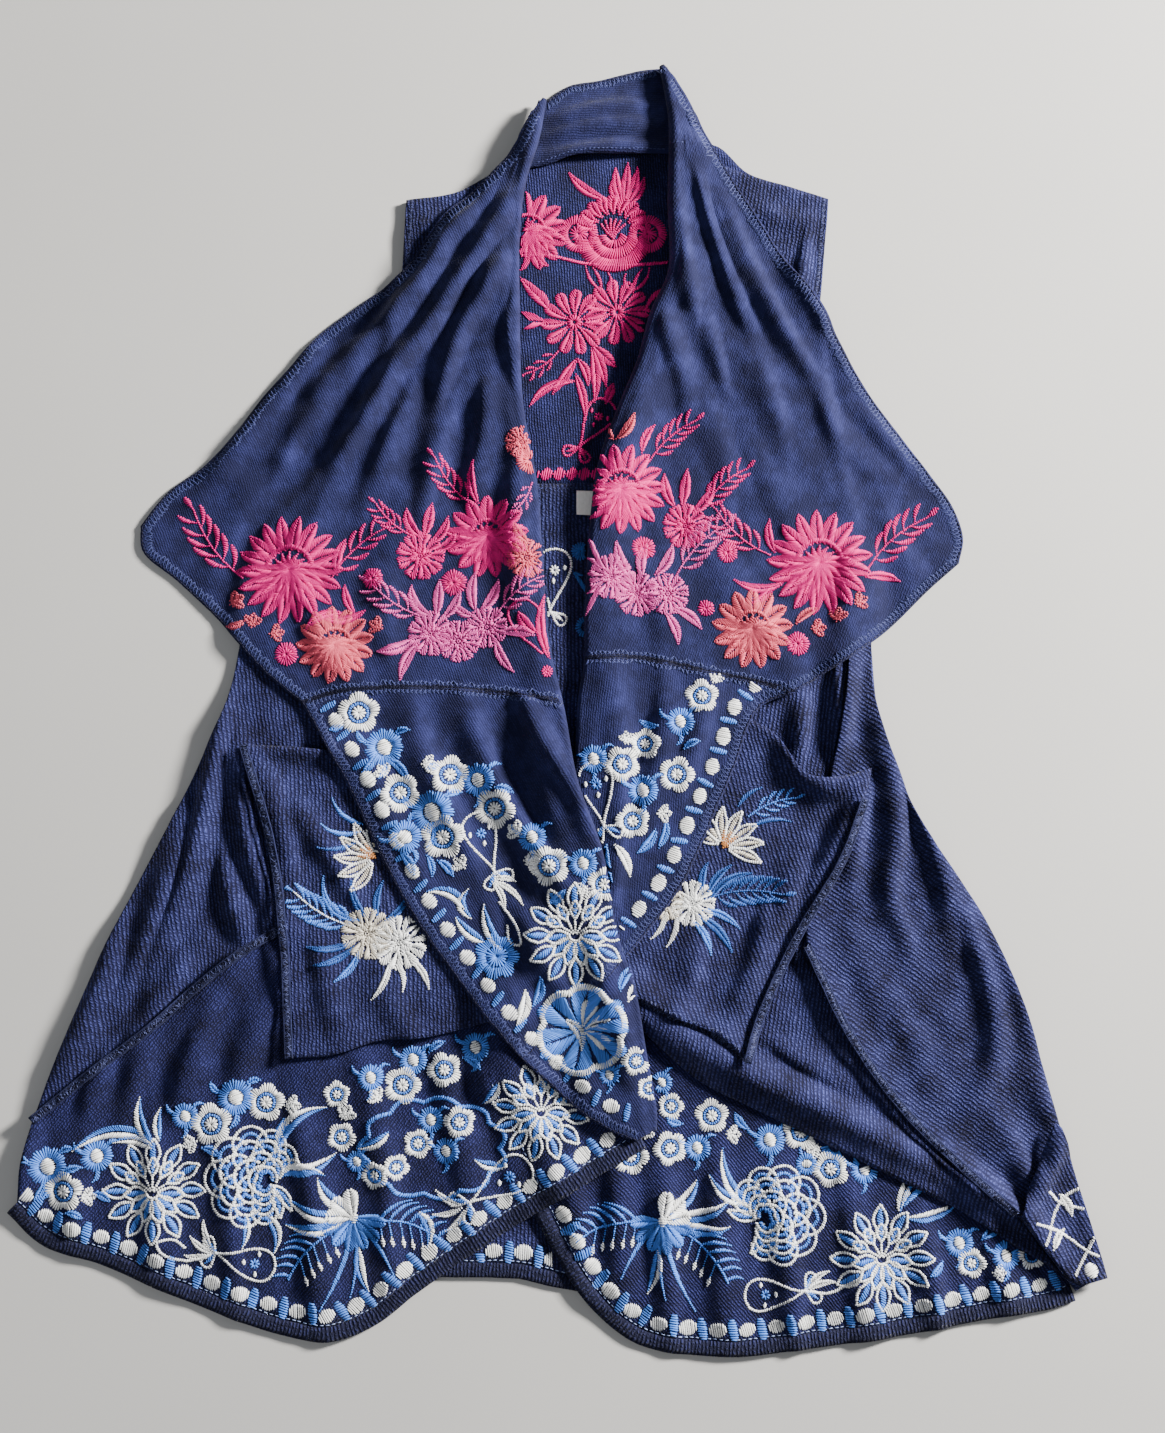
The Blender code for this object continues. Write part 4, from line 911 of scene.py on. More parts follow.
class Pile:
    """The height of the top of everything laid down so far, on a square raster."""

    def __init__(self):
        self.count = int(2 * HALF_RASTER / PITCH) + 1
        self.top = np.zeros((self.count, self.count))

    def index(self, xy):
        """The row and column of the raster that are nearest to each place."""
        at = np.rint((xy + HALF_RASTER) / PITCH).astype(int)
        at = np.clip(at, 0, self.count - 1)
        return at[..., 1], at[..., 0]

    def between(self, field, xy):
        """The field at any place, read between its four nearest points."""
        at = np.clip((xy + HALF_RASTER) / PITCH, 0, self.count - 1.001)
        low = np.floor(at).astype(int)
        right = at[..., 0] - low[..., 0]
        up = at[..., 1] - low[..., 1]
        x = low[..., 0]
        y = low[..., 1]
        return ((1 - right) * (1 - up) * field[y, x] + right * (1 - up) * field[y, x + 1]
                + (1 - right) * up * field[y + 1, x] + right * up * field[y + 1, x + 1])

    @staticmethod
    def neighbours(field):
        """The values below, above, left and right of each place."""
        padded = np.pad(field, 1, mode="edge")
        return padded[:-2, 1:-1], padded[2:, 1:-1], padded[1:-1, :-2], padded[1:-1, 2:]

    def widened(self, field, times):
        """Each place takes the highest value next to it, so many times."""
        for _ in range(times):
            field = np.maximum.reduce([field, *self.neighbours(field)])
        return field

    def blurred(self, field, times):
        """Each place is evened out with those next to it, so many times."""
        for _ in range(times):
            below, above, left, right = self.neighbours(field)
            field = (2 * field + below + above + left + right) / 6
        return field

    def cover(self, points):
        """Adds points of a top surface."""
        np.maximum.at(self.top, self.index(points[..., :2]), points[..., 2])

    def floor_for_next(self):
        """The lowest height at which the next sheet may lie, at each place."""
        near = self.widened(self.top, 1)
        return np.where(near > 0, near + LAYER_GAP, 0)

    def lay(self, flat, height, reach=DRAPE_REACH):
        """Lays a flat grid on the pile: returns its underside as a grid of points."""
        floor = self.floor_for_next()
        times = round(reach / PITCH)
        soft = self.blurred(self.widened(floor, times - 1), 2 * times)
        grid = np.concatenate([flat, self.between(soft, flat)[..., None]], axis=-1)
        grid = self.raised(grid, floor)
        for _ in range(SMOOTH_PASSES):
            grid = self.raised(self.smoothed(grid), floor)
        grid[..., 2] += np.maximum(height, 0)
        return self.raised(self.smoothed(grid), floor)

    def smoothed(self, grid):
        """Each point's height moved towards those of its four neighbours."""
        below, above, left, right = self.neighbours(grid[..., 2])
        out = grid.copy()
        out[..., 2] = KEPT_HEIGHT * grid[..., 2] + (1 - KEPT_HEIGHT) * ((below + above + left + right) / 4)
        return out

    def raised(self, grid, floor):
        """Lifts the corners of each cell that would reach into what lies under it."""
        points = fine_points(grid)
        short = floor[self.index(points[..., :2])] - points[..., 2]
        lift = np.maximum(short.max(axis=-1), 0)
        tall = np.zeros(grid.shape[:2])
        for rows in (slice(None, -1), slice(1, None)):
            for columns in (slice(None, -1), slice(1, None)):
                tall[rows, columns] = np.maximum(tall[rows, columns], lift)
        out = grid.copy()
        out[..., 2] += tall
        return out

    def add(self, grid, thickness):
        """Adds a laid sheet's top surface to the pile."""
        top = grid.copy()
        top[..., 2] += thickness * slope_stretch(grid)
        self.cover(fine_points(top))


class Fold:
    """A front edge turned over: the stations down its fold line and the part that turns under."""

    def __init__(self, points, toward, puff):
        self.line = edge(points, cells(points))
        run = run_along(self.line)
        self.normal = (sideways(self.line, 1.0) - self.line) * toward
        self.leg = np.interp(run, [0, LEG_GROWS_OVER], [LEG_AT_NECK, LEG])
        distance, radius = np.array(puff, float).T
        self.radius = np.interp(run, distance, radius)
        self.leg_height = None

    def at_height(self, y):
        """The station nearest to a place on the vertical axis."""
        return int(np.argmin(np.abs(self.line[:, 1] - y)))

    def leg_end(self, first, last, gap=0.0):
        """Where the turned-under part ends, between two stations."""
        rows = slice(first, last + 1)
        return self.line[rows] + self.normal[rows] * (self.leg[rows, None] + gap)

    def lay_leg(self, pile, thickness):
        """Puts the turned-under part on the pile, level across each station."""
        floor = pile.floor_for_next()
        height = np.zeros(len(self.line))
        for share in np.linspace(-0.1, 1.1, 11):
            height = np.maximum(height, floor[pile.index(self.across_leg(share))])
        height = np.max(self.windows(height), axis=1)
        self.leg_height = np.mean(self.windows(height), axis=1)
        top = (self.leg_height + thickness)[:, None]
        rows = [np.concatenate([self.across_leg(share), top], axis=1) for share in (0, 0.5, 1)]
        pile.cover(fine_points(np.stack(rows, axis=1)))

    def across_leg(self, share):
        """The places at a share of the way across the turned-under part."""
        return self.line + self.normal * self.leg[:, None] * share

    @staticmethod
    def windows(values):
        """For each value, the values near it on both sides."""
        padded = np.pad(values, LEG_EVENS_OVER, mode="edge")
        return np.lib.stride_tricks.sliding_window_view(padded, 2 * LEG_EVENS_OVER + 1)

    def start(self, thickness):
        """Where a lapel's flat part begins, just inside its fold."""
        return self.line + self.normal * (self.radius[:, None] + thickness)

    def puffed(self, grid, first, last, thickness):
        """The laid flat part, lifted near the fold so that the fold keeps its roundness."""
        rows = slice(first, last + 1)
        wanted = self.leg_height[rows] + thickness + 2 * self.radius[rows]
        short = np.maximum(wanted - grid[:, 0, 2], 0)
        away = np.linalg.norm(grid[..., :2] - grid[:, :1, :2], axis=-1)
        out = grid.copy()
        out[..., 2] += short[:, None] * np.exp(-(away / PUFF_SPREADS) ** 2)
        return out

    def turned(self, grid, first, last, thickness):
        """A lapel's inner face with its round fold and turned-under part, and the same laid out flat."""
        rows = slice(first, last + 1)
        under = self.leg_height[rows] + thickness
        rise = (grid[:, 0, 2] - under) / 2
        radius = self.radius[rows]
        middle = grid[:, 0, :2]
        solid = [grid[:, i] for i in range(grid.shape[1] - 1, 0, -1)]
        flat = [grid[:, i, :2] for i in range(grid.shape[1] - 1, 0, -1)]
        for angle in np.linspace(0, math.pi, ARC_STEPS + 1):
            xy = middle - self.normal[rows] * (radius * math.sin(angle))[:, None]
            z = under + rise + rise * math.cos(angle)
            solid.append(np.concatenate([xy, z[:, None]], axis=1))
            flat.append(middle - self.normal[rows] * (angle * (radius + rise) / 2)[:, None])
        bottom = flat[-1]
        end = self.leg_end(first, last)
        length = np.linalg.norm(end - middle, axis=1)
        for share in (0.33, 0.67, 1.0):
            xy = middle * (1 - share) + end * share
            solid.append(np.concatenate([xy, under[:, None]], axis=1))
            flat.append(bottom - self.normal[rows] * (length * share)[:, None])
        return np.stack(solid, axis=1), np.stack(flat, axis=1)


class Shell:
    """One laid piece of cloth: its inner face, its cut laid flat, and the outer face that shows."""

    made = []

    def __init__(self, name, grid, flat, thickness, surface, turn=0.0, rests_on=(), held="laid",
                 margin=SEAM_GAP / 2):
        self.name = name
        self.grid = inset(grid, margin)
        normal = grid_normals(self.grid)
        if normal[..., 2].sum() < 0:
            normal = -normal
        self.top = self.grid + normal * thickness
        self.item = self.closed(surface, flat, turn)
        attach(self.item, "root")
        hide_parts(name)
        Shell.made.append(self)

    def closed(self, surface, flat, turn):
        """The piece as one closed mesh: outer face, inner face and a rounded rim."""
        number, quads = grid_cells(self.grid)
        rows, columns = number.shape
        border = np.concatenate([number[0, :-1], number[:-1, -1], number[-1, :0:-1], number[:0:-1, 0]])
        inner_row = np.clip(border // columns, 1, rows - 2)
        inner_column = np.clip(border % columns, 1, columns - 2)
        bottom = self.grid.reshape(-1, 3)
        top = self.top.reshape(-1, 3)
        outward = unit(bottom[border] - bottom[inner_row * columns + inner_column])
        rim = (bottom[border] + top[border]) / 2 + outward * RIM_BULGE
        points = on_table(np.concatenate([bottom, top, rim]))
        count = len(bottom)
        following = np.roll(border, -1)
        ring = 2 * count + np.arange(len(border))
        ring_next = np.roll(ring, -1)
        faces = np.concatenate([quads[:, ::-1], quads + count,
                                np.stack([border, following, ring_next, ring], axis=1),
                                np.stack([ring, ring_next, following + count, border + count], axis=1)])
        item = new_mesh(self.name + "_cloth", points, faces, surface, self.name)
        outward_faces = bmesh.new()
        outward_faces.from_mesh(item.data)
        bmesh.ops.recalc_face_normals(outward_faces, faces=outward_faces.faces)
        outward_faces.to_mesh(item.data)
        outward_faces.free()
        smooth_shaded(item.data)
        angle = math.radians(turn)
        spin = np.array([[math.cos(angle), -math.sin(angle)], [math.sin(angle), math.cos(angle)]])
        place = flat.reshape(-1, 2) @ spin * MM
        place = np.concatenate([place, place, place[border]])
        corner = np.empty(len(item.data.loops), np.int32)
        item.data.loops.foreach_get("vertex_index", corner)
        layer = item.data.uv_layers.new(name=FLAT_MAP)
        layer.data.foreach_set("uv", place[corner].astype(np.float32).ravel())
        return item

    def triangles(self):
        """The outer face as points and triangles, in millimetres."""
        quads = grid_cells(self.top)[1]
        return self.top.reshape(-1, 3), np.concatenate([quads[:, [0, 1, 2]], quads[:, [0, 2, 3]]])


def new_mesh(name, points, faces, surface, mesh_name=None):
    """An object in the scene, made from points in metres, faces and a material."""
    mesh = bpy.data.meshes.new(mesh_name or name)
    mesh.from_pydata(points.tolist(), [], faces.tolist())
    mesh.materials.append(surface)
    return in_scene(name, mesh)


def in_scene(name, data):
    """A new object in the scene that holds a mesh, a light or a camera."""
    item = bpy.data.objects.new(name, data)
    bpy.context.scene.collection.objects.link(item)
    return item


def smooth_shaded(mesh):
    """Shades a mesh without showing its faces' edges."""
    mesh.polygons.foreach_set("use_smooth", np.ones(len(mesh.polygons), bool))


def strip_along(curve, width):
    """A narrow flat grid beside a curve."""
    shares = np.linspace(-0.5, 0.5, STRIP_POINTS)
    return np.stack([sideways(curve, width * share) for share in shares], axis=1)


def straight(a, b, count):
    """Evenly spaced points on a straight line."""
    return even(np.array([a, b], float), count)


def rolled_edge(grid, pile, width):
    """The last row's side rolled down onto what lies under it, as the rounded edge of a fold."""
    out = grid.copy()
    away = np.linalg.norm(grid[..., :2] - grid[-1:, :, :2], axis=-1)
    share = np.clip(1 - away / width, 0, 1)
    floor = pile.between(pile.floor_for_next(), grid[..., :2])
    out[..., 2] = floor + (grid[..., 2] - floor) * np.sqrt(1 - share ** 2)
    return pile.raised(out, pile.floor_for_next())


def lay_piece(pile, name, flat, height, thickness, surface, turn, rests_on, held="laid",
              reach=DRAPE_REACH):
    """Lays one whole piece on the pile."""
    grid = pile.lay(flat, height, reach)
    Shell(name, grid, flat, thickness, surface, turn, rests_on, held)
    pile.add(grid, thickness)


def build_back(pile, cloth):
    """The back: the yoke, the lower back, its bound hem, the collar and the label."""
    across = cells(BACK_SEAM, YOKE_CELL)
    down = cells(ARMHOLE_LEFT, YOKE_CELL)
    yoke = patch(edge(SHOULDERS, across), edge(BACK_SEAM, across),
                 edge(ARMHOLE_LEFT, down), edge(ARMHOLE_RIGHT, down))
    across = cells(BACK_SEAM, HIDDEN_CELL)
    seam = edge(BACK_SEAM, across)
    hem = edge(BACK_HEM, across)
    bound = sideways(hem, BINDING_WIDTH)
    down = cells(SIDE_LEFT, HIDDEN_CELL)
    lower = patch(seam, bound, edge_to(SIDE_LEFT, bound[0], down), edge_to(SIDE_RIGHT, bound[-1], down))
    for name, flat, surface, turn in (("back_yoke", yoke, "skirt", 4), ("back_lower", lower, "body", 0)):
        grid = on_floor(flat)
        Shell(name, grid, flat, KNIT, cloth[surface], turn, ["floor"])
        pile.add(grid, KNIT)
    grid = on_floor(np.concatenate([bound[None], bound_rows(bound, hem)]))
    lay_binding("binding_back", grid, bound, cloth, "floor", 0.0)
    pile.add(grid, KNIT)

    upper_left, upper_right, lower_right, lower_left = LABEL_CORNERS
    flat = patch(straight(upper_left, upper_right, 8), straight(lower_left, lower_right, 8),
                 straight(upper_left, lower_left, 7), straight(upper_right, lower_right, 7))
    lay_piece(pile, "label", flat, ripple(flat, turn=20, wavelength=24, tall=0.5, seed=3),
              LABEL_CLOTH, cloth["label"], 0, ["back_lower"], reach=CLOSE_REACH)

    top = edge(COLLAR_TOP, cells(COLLAR_TOP))
    foot = edge(NECK_SEAM, len(top) - 1)
    flat = patch(top, foot, straight(top[0], foot[0], 16), straight(top[-1], foot[-1], 16))
    height = relief(flat, COLLAR_FOLDS) + ripple(flat, turn=6, wavelength=14, tall=0.8, seed=5)
    lay_piece(pile, "collar_back", flat, height, JERSEY, cloth["lapel"], 90, ["back_yoke"], "folded")


def build_allowance(pile, cloth, name, points, under):
    """A raw seam allowance: a narrow strip that lies along a seam, with its outer edge curling up."""
    curve = edge(points, cells(points))
    flat = strip_along(curve, ALLOWANCE_WIDTH)
    varied = 1 + CURL_VARIES * np.sin(np.arange(len(curve)) * CURL_TURN)
    grid = pile.lay(flat, ALLOWANCE_CURL[None, :] * varied[:, None], CLOSE_REACH)
    across = np.linspace(0, ALLOWANCE_WIDTH, STRIP_POINTS)
    unrolled = np.stack([np.tile(across, (len(curve), 1)),
                         np.tile(run_along(curve)[:, None], (1, STRIP_POINTS))], axis=-1)
    Shell(name, grid, unrolled, ALLOWANCE_CLOTH, cloth["raw"], 0, [under])
    pile.add(grid, ALLOWANCE_CLOTH)


def build_pocket(pile, cloth, name, top, foot, first, last, folds, turn, under):
    """A patch pocket: an open top edge, raw side and foot, laid on the front."""
    across = cells(top)
    down = cells(first)
    flat = patch(edge(top, across), edge(foot, across), edge(first, down), edge(last, down))
    height = relief(flat, folds) + ripple(flat, turn, wavelength=26, tall=0.9, seed=len(name))
    lay_piece(pile, name, flat, height, KNIT, cloth["body"], turn - 90, [under])


# The two parts of a lapel as a name, the turn of the waves in the left and the right one, and each
# set of waves as its wavelength, height and seed
LAPEL_PARTS = (
    ("upper", {"left": -68, "right": -112}, ((34, 1.5, 11), (12, 0.5, 12))),
    ("lower", {"left": -60, "right": -96}, ((30, 1.1, 13), (12, 0.4, 14))),
)


def build_lapel(pile, cloth, side, fold, split, seam, hem, outer, point_edge, folds):
    """Both parts of a lapel: a wide upper part and a pointed lower part, joined at the station split."""
    last = len(fold.line) - 1
    seam_cells = cells(seam)
    start = fold.start(JERSEY)
    shared = edge([tuple(start[split])] + seam[1:], seam_cells)
    lower_edge = np.vstack([shared, edge(hem, cells(hem))[1:]])
    across = len(lower_edge) - 1
    outer_edge = edge(outer, split)
    point = edge(point_edge, last - split)
    flats = (patch(straight(start[0], outer_edge[0], across), lower_edge, start[:split + 1], outer_edge),
             patch(shared, straight(start[last], point[-1], seam_cells), start[split:], point))
    stations = ((0, split), (split, last))
    grids = []
    for flat, (part, turns, waves), crests, (first, end) in zip(flats, LAPEL_PARTS, folds, stations):
        height = relief(flat, crests)
        for wave in waves:
            height = height + ripple(flat, turns[side], *wave)
        grids.append(fold.puffed(pile.lay(flat, height), first, end, JERSEY))
    upper, lower = grids
    joined = np.maximum(upper[-1, :seam_cells + 1, 2], lower[0, :, 2])
    upper[-1, :seam_cells + 1, 2] = joined
    lower[0, :, 2] = joined
    for grid, (part, turns, waves), (first, end) in zip(grids, LAPEL_PARTS, stations):
        whole, flat = fold.turned(grid, first, end, JERSEY)
        Shell(f"lapel_{side}_{part}", whole, flat, JERSEY, cloth["lapel"], turns[side] + 90,
              [f"front_{side}_body", f"pocket_{side}"], "folded", LAPEL_INSET)
        pile.add(whole[:, :grid.shape[1] + 2], JERSEY)


def bound_rows(bound, hem):
    """The rows of a binding between its seam and its outer edge."""
    return np.stack([bound * (1 - share) + hem * share for share in (1 / 3, 2 / 3, 1)])


def lay_binding(name, grid, bound, cloth, under, fullness=BINDING_FULLNESS):
    """A ribbed binding, a little fuller in the middle than at its two edges."""
    grid = grid.copy()
    grid[1:-1, :, 2] += fullness
    across = np.linspace(0, BINDING_WIDTH, len(grid))
    flat = np.stack([np.tile(run_along(bound)[None, :], (len(grid), 1)),
                     np.tile(across[:, None], (1, len(bound)))], axis=-1)
    Shell(name, grid, flat, BINDING_CLOTH, cloth["rib"], 0, [under])


def build_right(pile, cloth):
    """The right front: embroidered skirt, body, side panel, godet, pocket and lapel."""
    fold = Fold(RIGHT_FOLD, 1.0, RIGHT_PUFF)
    last = len(fold.line) - 1
    fold.lay_leg(pile, JERSEY)

    waist = fold.at_height(RIGHT_WAIST)
    inner = fold.leg_end(waist, last, SEAM_GAP)
    across = cells(RIGHT_HEM)
    hem = edge([tuple(inner[-1] + TIP_OVERLAP)] + RIGHT_HEM[1:], across)
    bound = sideways(hem, BINDING_WIDTH)
    down = last - waist
    first_column = even(np.vstack([inner[:-1], bound[:1]]), down)
    top = edge([tuple(first_column[0])] + RIGHT_SKIRT_TOP[1:], across)
    flat = patch(top, bound, first_column, straight(top[-1], bound[-1], down))
    split = len(flat) - 1
    flat = np.concatenate([flat, bound_rows(bound, hem)])
    height = relief(flat, RIGHT_SKIRT_FOLDS) + ripple(flat, turn=-86, wavelength=30, tall=1.2, seed=21)
    grid = pile.lay(flat, height)
    Shell("front_right_skirt", grid[:split + 1], flat[:split + 1], KNIT, cloth["skirt"], 40, ["back_lower"])
    lay_binding("binding_right", grid[split:], bound, cloth, "binding_back")
    pile.add(grid, BINDING_CLOTH)

    shoulder = fold.at_height(RIGHT_SHOULDER)
    inner = fold.leg_end(shoulder, waist, SEAM_GAP)
    foot = edge([tuple(inner[-1])] + RIGHT_PLEAT[1:], cells(RIGHT_PLEAT))
    top = edge([tuple(inner[0])] + RIGHT_BODY_TOP, len(foot) - 1)
    flat = patch(top, foot, inner, edge(RIGHT_BODY_OUTER, waist - shoulder))
    height = relief(flat, RIGHT_BODY_FOLDS) + ripple(flat, turn=-80, wavelength=32, tall=1.0, seed=22)
    grid = rolled_edge(pile.lay(flat, height), pile, ROLL_WIDTH)
    Shell("front_right_body", grid, flat, KNIT, cloth["body"], -8,
          ["back_yoke", "back_lower", "front_right_skirt"])
    pile.add(grid, KNIT)

    down = cells(RIGHT_SIDE_OUTER)
    seam = edge(RIGHT_SIDE_SEAM, down)
    outer = edge(RIGHT_SIDE_OUTER, down)
    across = cells([RIGHT_SIDE_SEAM[4], RIGHT_SIDE_OUTER[7]])
    flat = patch(straight(seam[0], outer[0], across), straight(seam[-1], outer[-1], across), seam, outer)
    height = relief(flat, RIGHT_SIDE_FOLDS) + ripple(flat, turn=-62, wavelength=24, tall=1.2, seed=23)
    lay_piece(pile, "side_right", flat, height, KNIT, cloth["body"], 55, ["back_lower", "front_right_body"])

    across = cells([GODET_INNER[1], GODET_OUTER[1]])
    down = cells(GODET_INNER)
    top = straight(GODET_INNER[0], GODET_OUTER[0], across)
    flat = patch(top, edge(GODET_LOWER, across), edge(GODET_INNER, down), edge(GODET_OUTER, down))
    lay_piece(pile, "godet_right", flat, relief(flat, GODET_FOLDS), KNIT, cloth["body"], 30,
              ["side_right"], "folded", CLOSE_REACH)

    build_allowance(pile, cloth, "allowance_side_right", RIGHT_SIDE_SEAM[3:-1], "side_right")
    first = [POCKET_RIGHT_TOP[0], POCKET_RIGHT_INNER, POCKET_RIGHT_FOOT[0]]
    build_pocket(pile, cloth, "pocket_right", POCKET_RIGHT_TOP, POCKET_RIGHT_FOOT, first, POCKET_RIGHT_EDGE,
                 POCKET_RIGHT_FOLDS, -74, "front_right_body")
    build_allowance(pile, cloth, "allowance_pocket_right", POCKET_RIGHT_EDGE[1:], "pocket_right")
    build_lapel(pile, cloth, "right", fold, fold.at_height(RIGHT_SPLIT), RIGHT_LAPEL_SEAM, RIGHT_LAPEL_HEM,
                RIGHT_LAPEL_EDGE, RIGHT_POINT_EDGE, (RIGHT_LAPEL_FOLDS, RIGHT_POINT_FOLDS))


def build_left(pile, cloth):
    """The left front, which overlaps the right one: body, skirt, pocket and lapel."""
    fold = Fold(LEFT_FOLD, -1.0, LEFT_PUFF)
    last = len(fold.line) - 1
    fold.lay_leg(pile, JERSEY)

    shoulder = fold.at_height(LEFT_SHOULDER)
    waist = fold.at_height(LEFT_WAIST)
    across = cells(LEFT_SKIRT_SEAM)
    inner = fold.leg_end(shoulder, waist, SEAM_GAP)
    seam = edge_to(LEFT_SKIRT_SEAM, inner[-1], across)
    top = edge(LEFT_BODY_TOP + [tuple(inner[0])], across)
    body = patch(top, seam, edge(LEFT_OUTER, waist - shoulder), inner)
    inner = fold.leg_end(waist, last, SEAM_GAP)
    hem = edge(LEFT_HEM, across)
    bound = sideways(hem, BINDING_WIDTH)
    down = last - waist
    last_column = even(np.vstack([inner[:-1], bound[-1:]]), down)
    skirt = patch(seam, bound, edge_to(LEFT_SIDE_LOW, bound[0], down), last_column)
    flat = np.concatenate([body, skirt[1:], bound_rows(bound, hem)])
    height = relief(flat, LEFT_FRONT_FOLDS) + ripple(flat, turn=-84, wavelength=32, tall=1.2, seed=31)
    grid = pile.lay(flat, height)
    first = len(body) - 1
    second = first + down
    Shell("front_left_body", grid[:first + 1], flat[:first + 1], KNIT, cloth["body"], 6,
          ["back_yoke", "back_lower"])
    Shell("front_left_skirt", grid[first:second + 1], flat[first:second + 1], KNIT, cloth["skirt"], -40,
          ["back_lower", "front_right_skirt"])
    lay_binding("binding_left", grid[second:], bound, cloth, "back_lower")
    pile.add(grid, BINDING_CLOTH)

    build_allowance(pile, cloth, "allowance_skirt_left", LEFT_SKIRT_SEAM[:6], "front_left_body")
    last = [POCKET_LEFT_TOP[-1], POCKET_LEFT_INNER, POCKET_LEFT_FOOT[-1]]
    build_pocket(pile, cloth, "pocket_left", POCKET_LEFT_TOP, POCKET_LEFT_FOOT, POCKET_LEFT_EDGE, last,
                 POCKET_LEFT_FOLDS, -88, "front_left_body")
    build_allowance(pile, cloth, "allowance_pocket_left", POCKET_LEFT_EDGE, "pocket_left")
    build_lapel(pile, cloth, "left", fold, fold.at_height(LEFT_SPLIT), LEFT_LAPEL_SEAM, LEFT_LAPEL_HEM,
                LEFT_LAPEL_EDGE, LEFT_POINT_EDGE, (LEFT_LAPEL_FOLDS, LEFT_POINT_FOLDS))


class Needle:
    """Collects stitches: where each starts and ends, its tone, its width and how far it stands off."""

    def __init__(self, seed):
        self.random = np.random.default_rng(seed)
        self.rows = []
        self.layer = 0.0

    def rise(self, layers=1.0):
        """What is sewn next lies so many layers higher."""
        self.layer += layers * LAYER_STEP

    def sew(self, start, end, tone, width=STITCH_WIDTH):
        """Adds straight stitches, each a little off its place and its tone."""
        start = np.atleast_2d(start)
        end = np.atleast_2d(end)
        count = len(start)
        start = start + self.random.normal(0, WOBBLE, start.shape)
        end = end + self.random.normal(0, WOBBLE, end.shape)
        shade = 1 + self.random.normal(0, SHADE_SPREAD, (count, 1))
        tones = np.clip(np.array(tone) * shade, 0, 1)
        rest = np.tile([width, self.layer], (count, 1))
        self.rows.append(np.concatenate([start, end, tones, rest], axis=1))

    def satin(self, path, half, tone, slant=0.3, split=False):
        """Stitches side by side across a path; split ones meet along its middle."""
        path = np.asarray(path, float)
        count = max(2, int(run_along(path)[-1] / STITCH_PITCH))
        middle = even(path, count)
        along = unit(np.gradient(middle, axis=0))
        reach = resampled(half, count + 1)
        side = np.stack([-along[:, 1], along[:, 0]], axis=1) * reach[:, None]
        lead = along * (reach * slant)[:, None]
        if split:
            self.sew(middle - SATIN_OVERLAP * lead, middle + side + lead, tone)
            self.sew(middle - SATIN_OVERLAP * lead, middle - side + lead, tone)
        else:
            self.sew(middle + side + lead, middle - side - lead, tone)

    def radial(self, x, y, inner, outer, tone):
        """Stitches that point away from a place; outer is a distance or a rule for each angle."""
        far = outer if callable(outer) else (lambda angle: np.full_like(angle, outer))
        middle = (inner + np.max(far(np.radians(np.linspace(0, 360, 60))))) / 2
        count = max(5, int(2 * math.pi * middle / STITCH_PITCH))
        angle = np.radians(np.linspace(0, 360, count, endpoint=False))
        way = np.stack([np.cos(angle), np.sin(angle)], axis=1)
        place = np.array([x, y], float)
        self.sew(place + way * inner, place + way * far(angle)[:, None], tone)

    def disc(self, x, y, radius, turn, tone):
        """Parallel stitches that fill a circle."""
        count = max(3, int(2 * radius / STITCH_PITCH))
        across = np.linspace(-DISC_FILL, DISC_FILL, count + 1) * radius
        half = np.sqrt(radius ** 2 - across ** 2)
        angle = math.radians(turn)
        way = np.array([math.cos(angle), math.sin(angle)])
        side = np.array([-way[1], way[0]])
        middle = np.array([x, y]) + across[:, None] * side
        self.sew(middle - half[:, None] * way, middle + half[:, None] * way, tone)


# In the motifs, the sizes of parts are shares of the motif's own radius or length, and angles are
# in degrees from the X axis or from the motif's turn


def resampled(values, count):
    """The values read at another count of even places."""
    values = np.atleast_1d(values)
    return np.interp(np.linspace(0, 1, count), np.linspace(0, 1, len(values)), values)


def polar(x, y, angle, distance):
    """The place at an angle and a distance from another."""
    angle = math.radians(angle)
    return np.array([x + distance * math.cos(angle), y + distance * math.sin(angle)])


def arc(x, y, reach, angles):
    """A path round a place."""
    return np.array([polar(x, y, angle, reach) for angle in angles])


def bent(start, end, bend, count=SHAPE_POINTS):
    """A path from start to end that bows to its left by a share of its length."""
    start = np.array(start, float)
    step = np.array(end, float) - start
    share = np.linspace(0, 1, count)[:, None]
    return start + step * share + np.array([-step[1], step[0]]) * bend * 4 * share * (1 - share)


def leaf_shape(half, fullest=0.75):
    """Half widths from the foot to the tip of a pointed leaf."""
    share = np.linspace(0, 1, SHAPE_POINTS)
    return np.maximum(half * np.sin(math.pi * share ** fullest) ** 0.85, 0.5)


def petal_shape(half, fullest=1.4):
    """Half widths of a petal that is broad near its tip."""
    share = np.clip(np.linspace(0, 1, SHAPE_POINTS), 0.04, 0.97)
    return np.maximum(half * np.sqrt(np.sin(math.pi * share ** fullest)), 0.6)


def pointed_shape(half):
    """Half widths of a petal that is full at its foot and ends in a point."""
    share = np.linspace(0, 1, SHAPE_POINTS)
    return np.maximum(half * (1 - share ** 2.4) ** 0.8, 0.5)


def leaf(needle, x0, y0, x1, y1, half, bend, tone):
    """One pointed leaf between two places."""
    needle.satin(bent((x0, y0), (x1, y1), bend), leaf_shape(half), tone, 0.9, half > SPLIT_ABOVE)


def leaves(needle, tone, *places):
    """Leaves of one tone."""
    for place in places:
        leaf(needle, *place, tone)


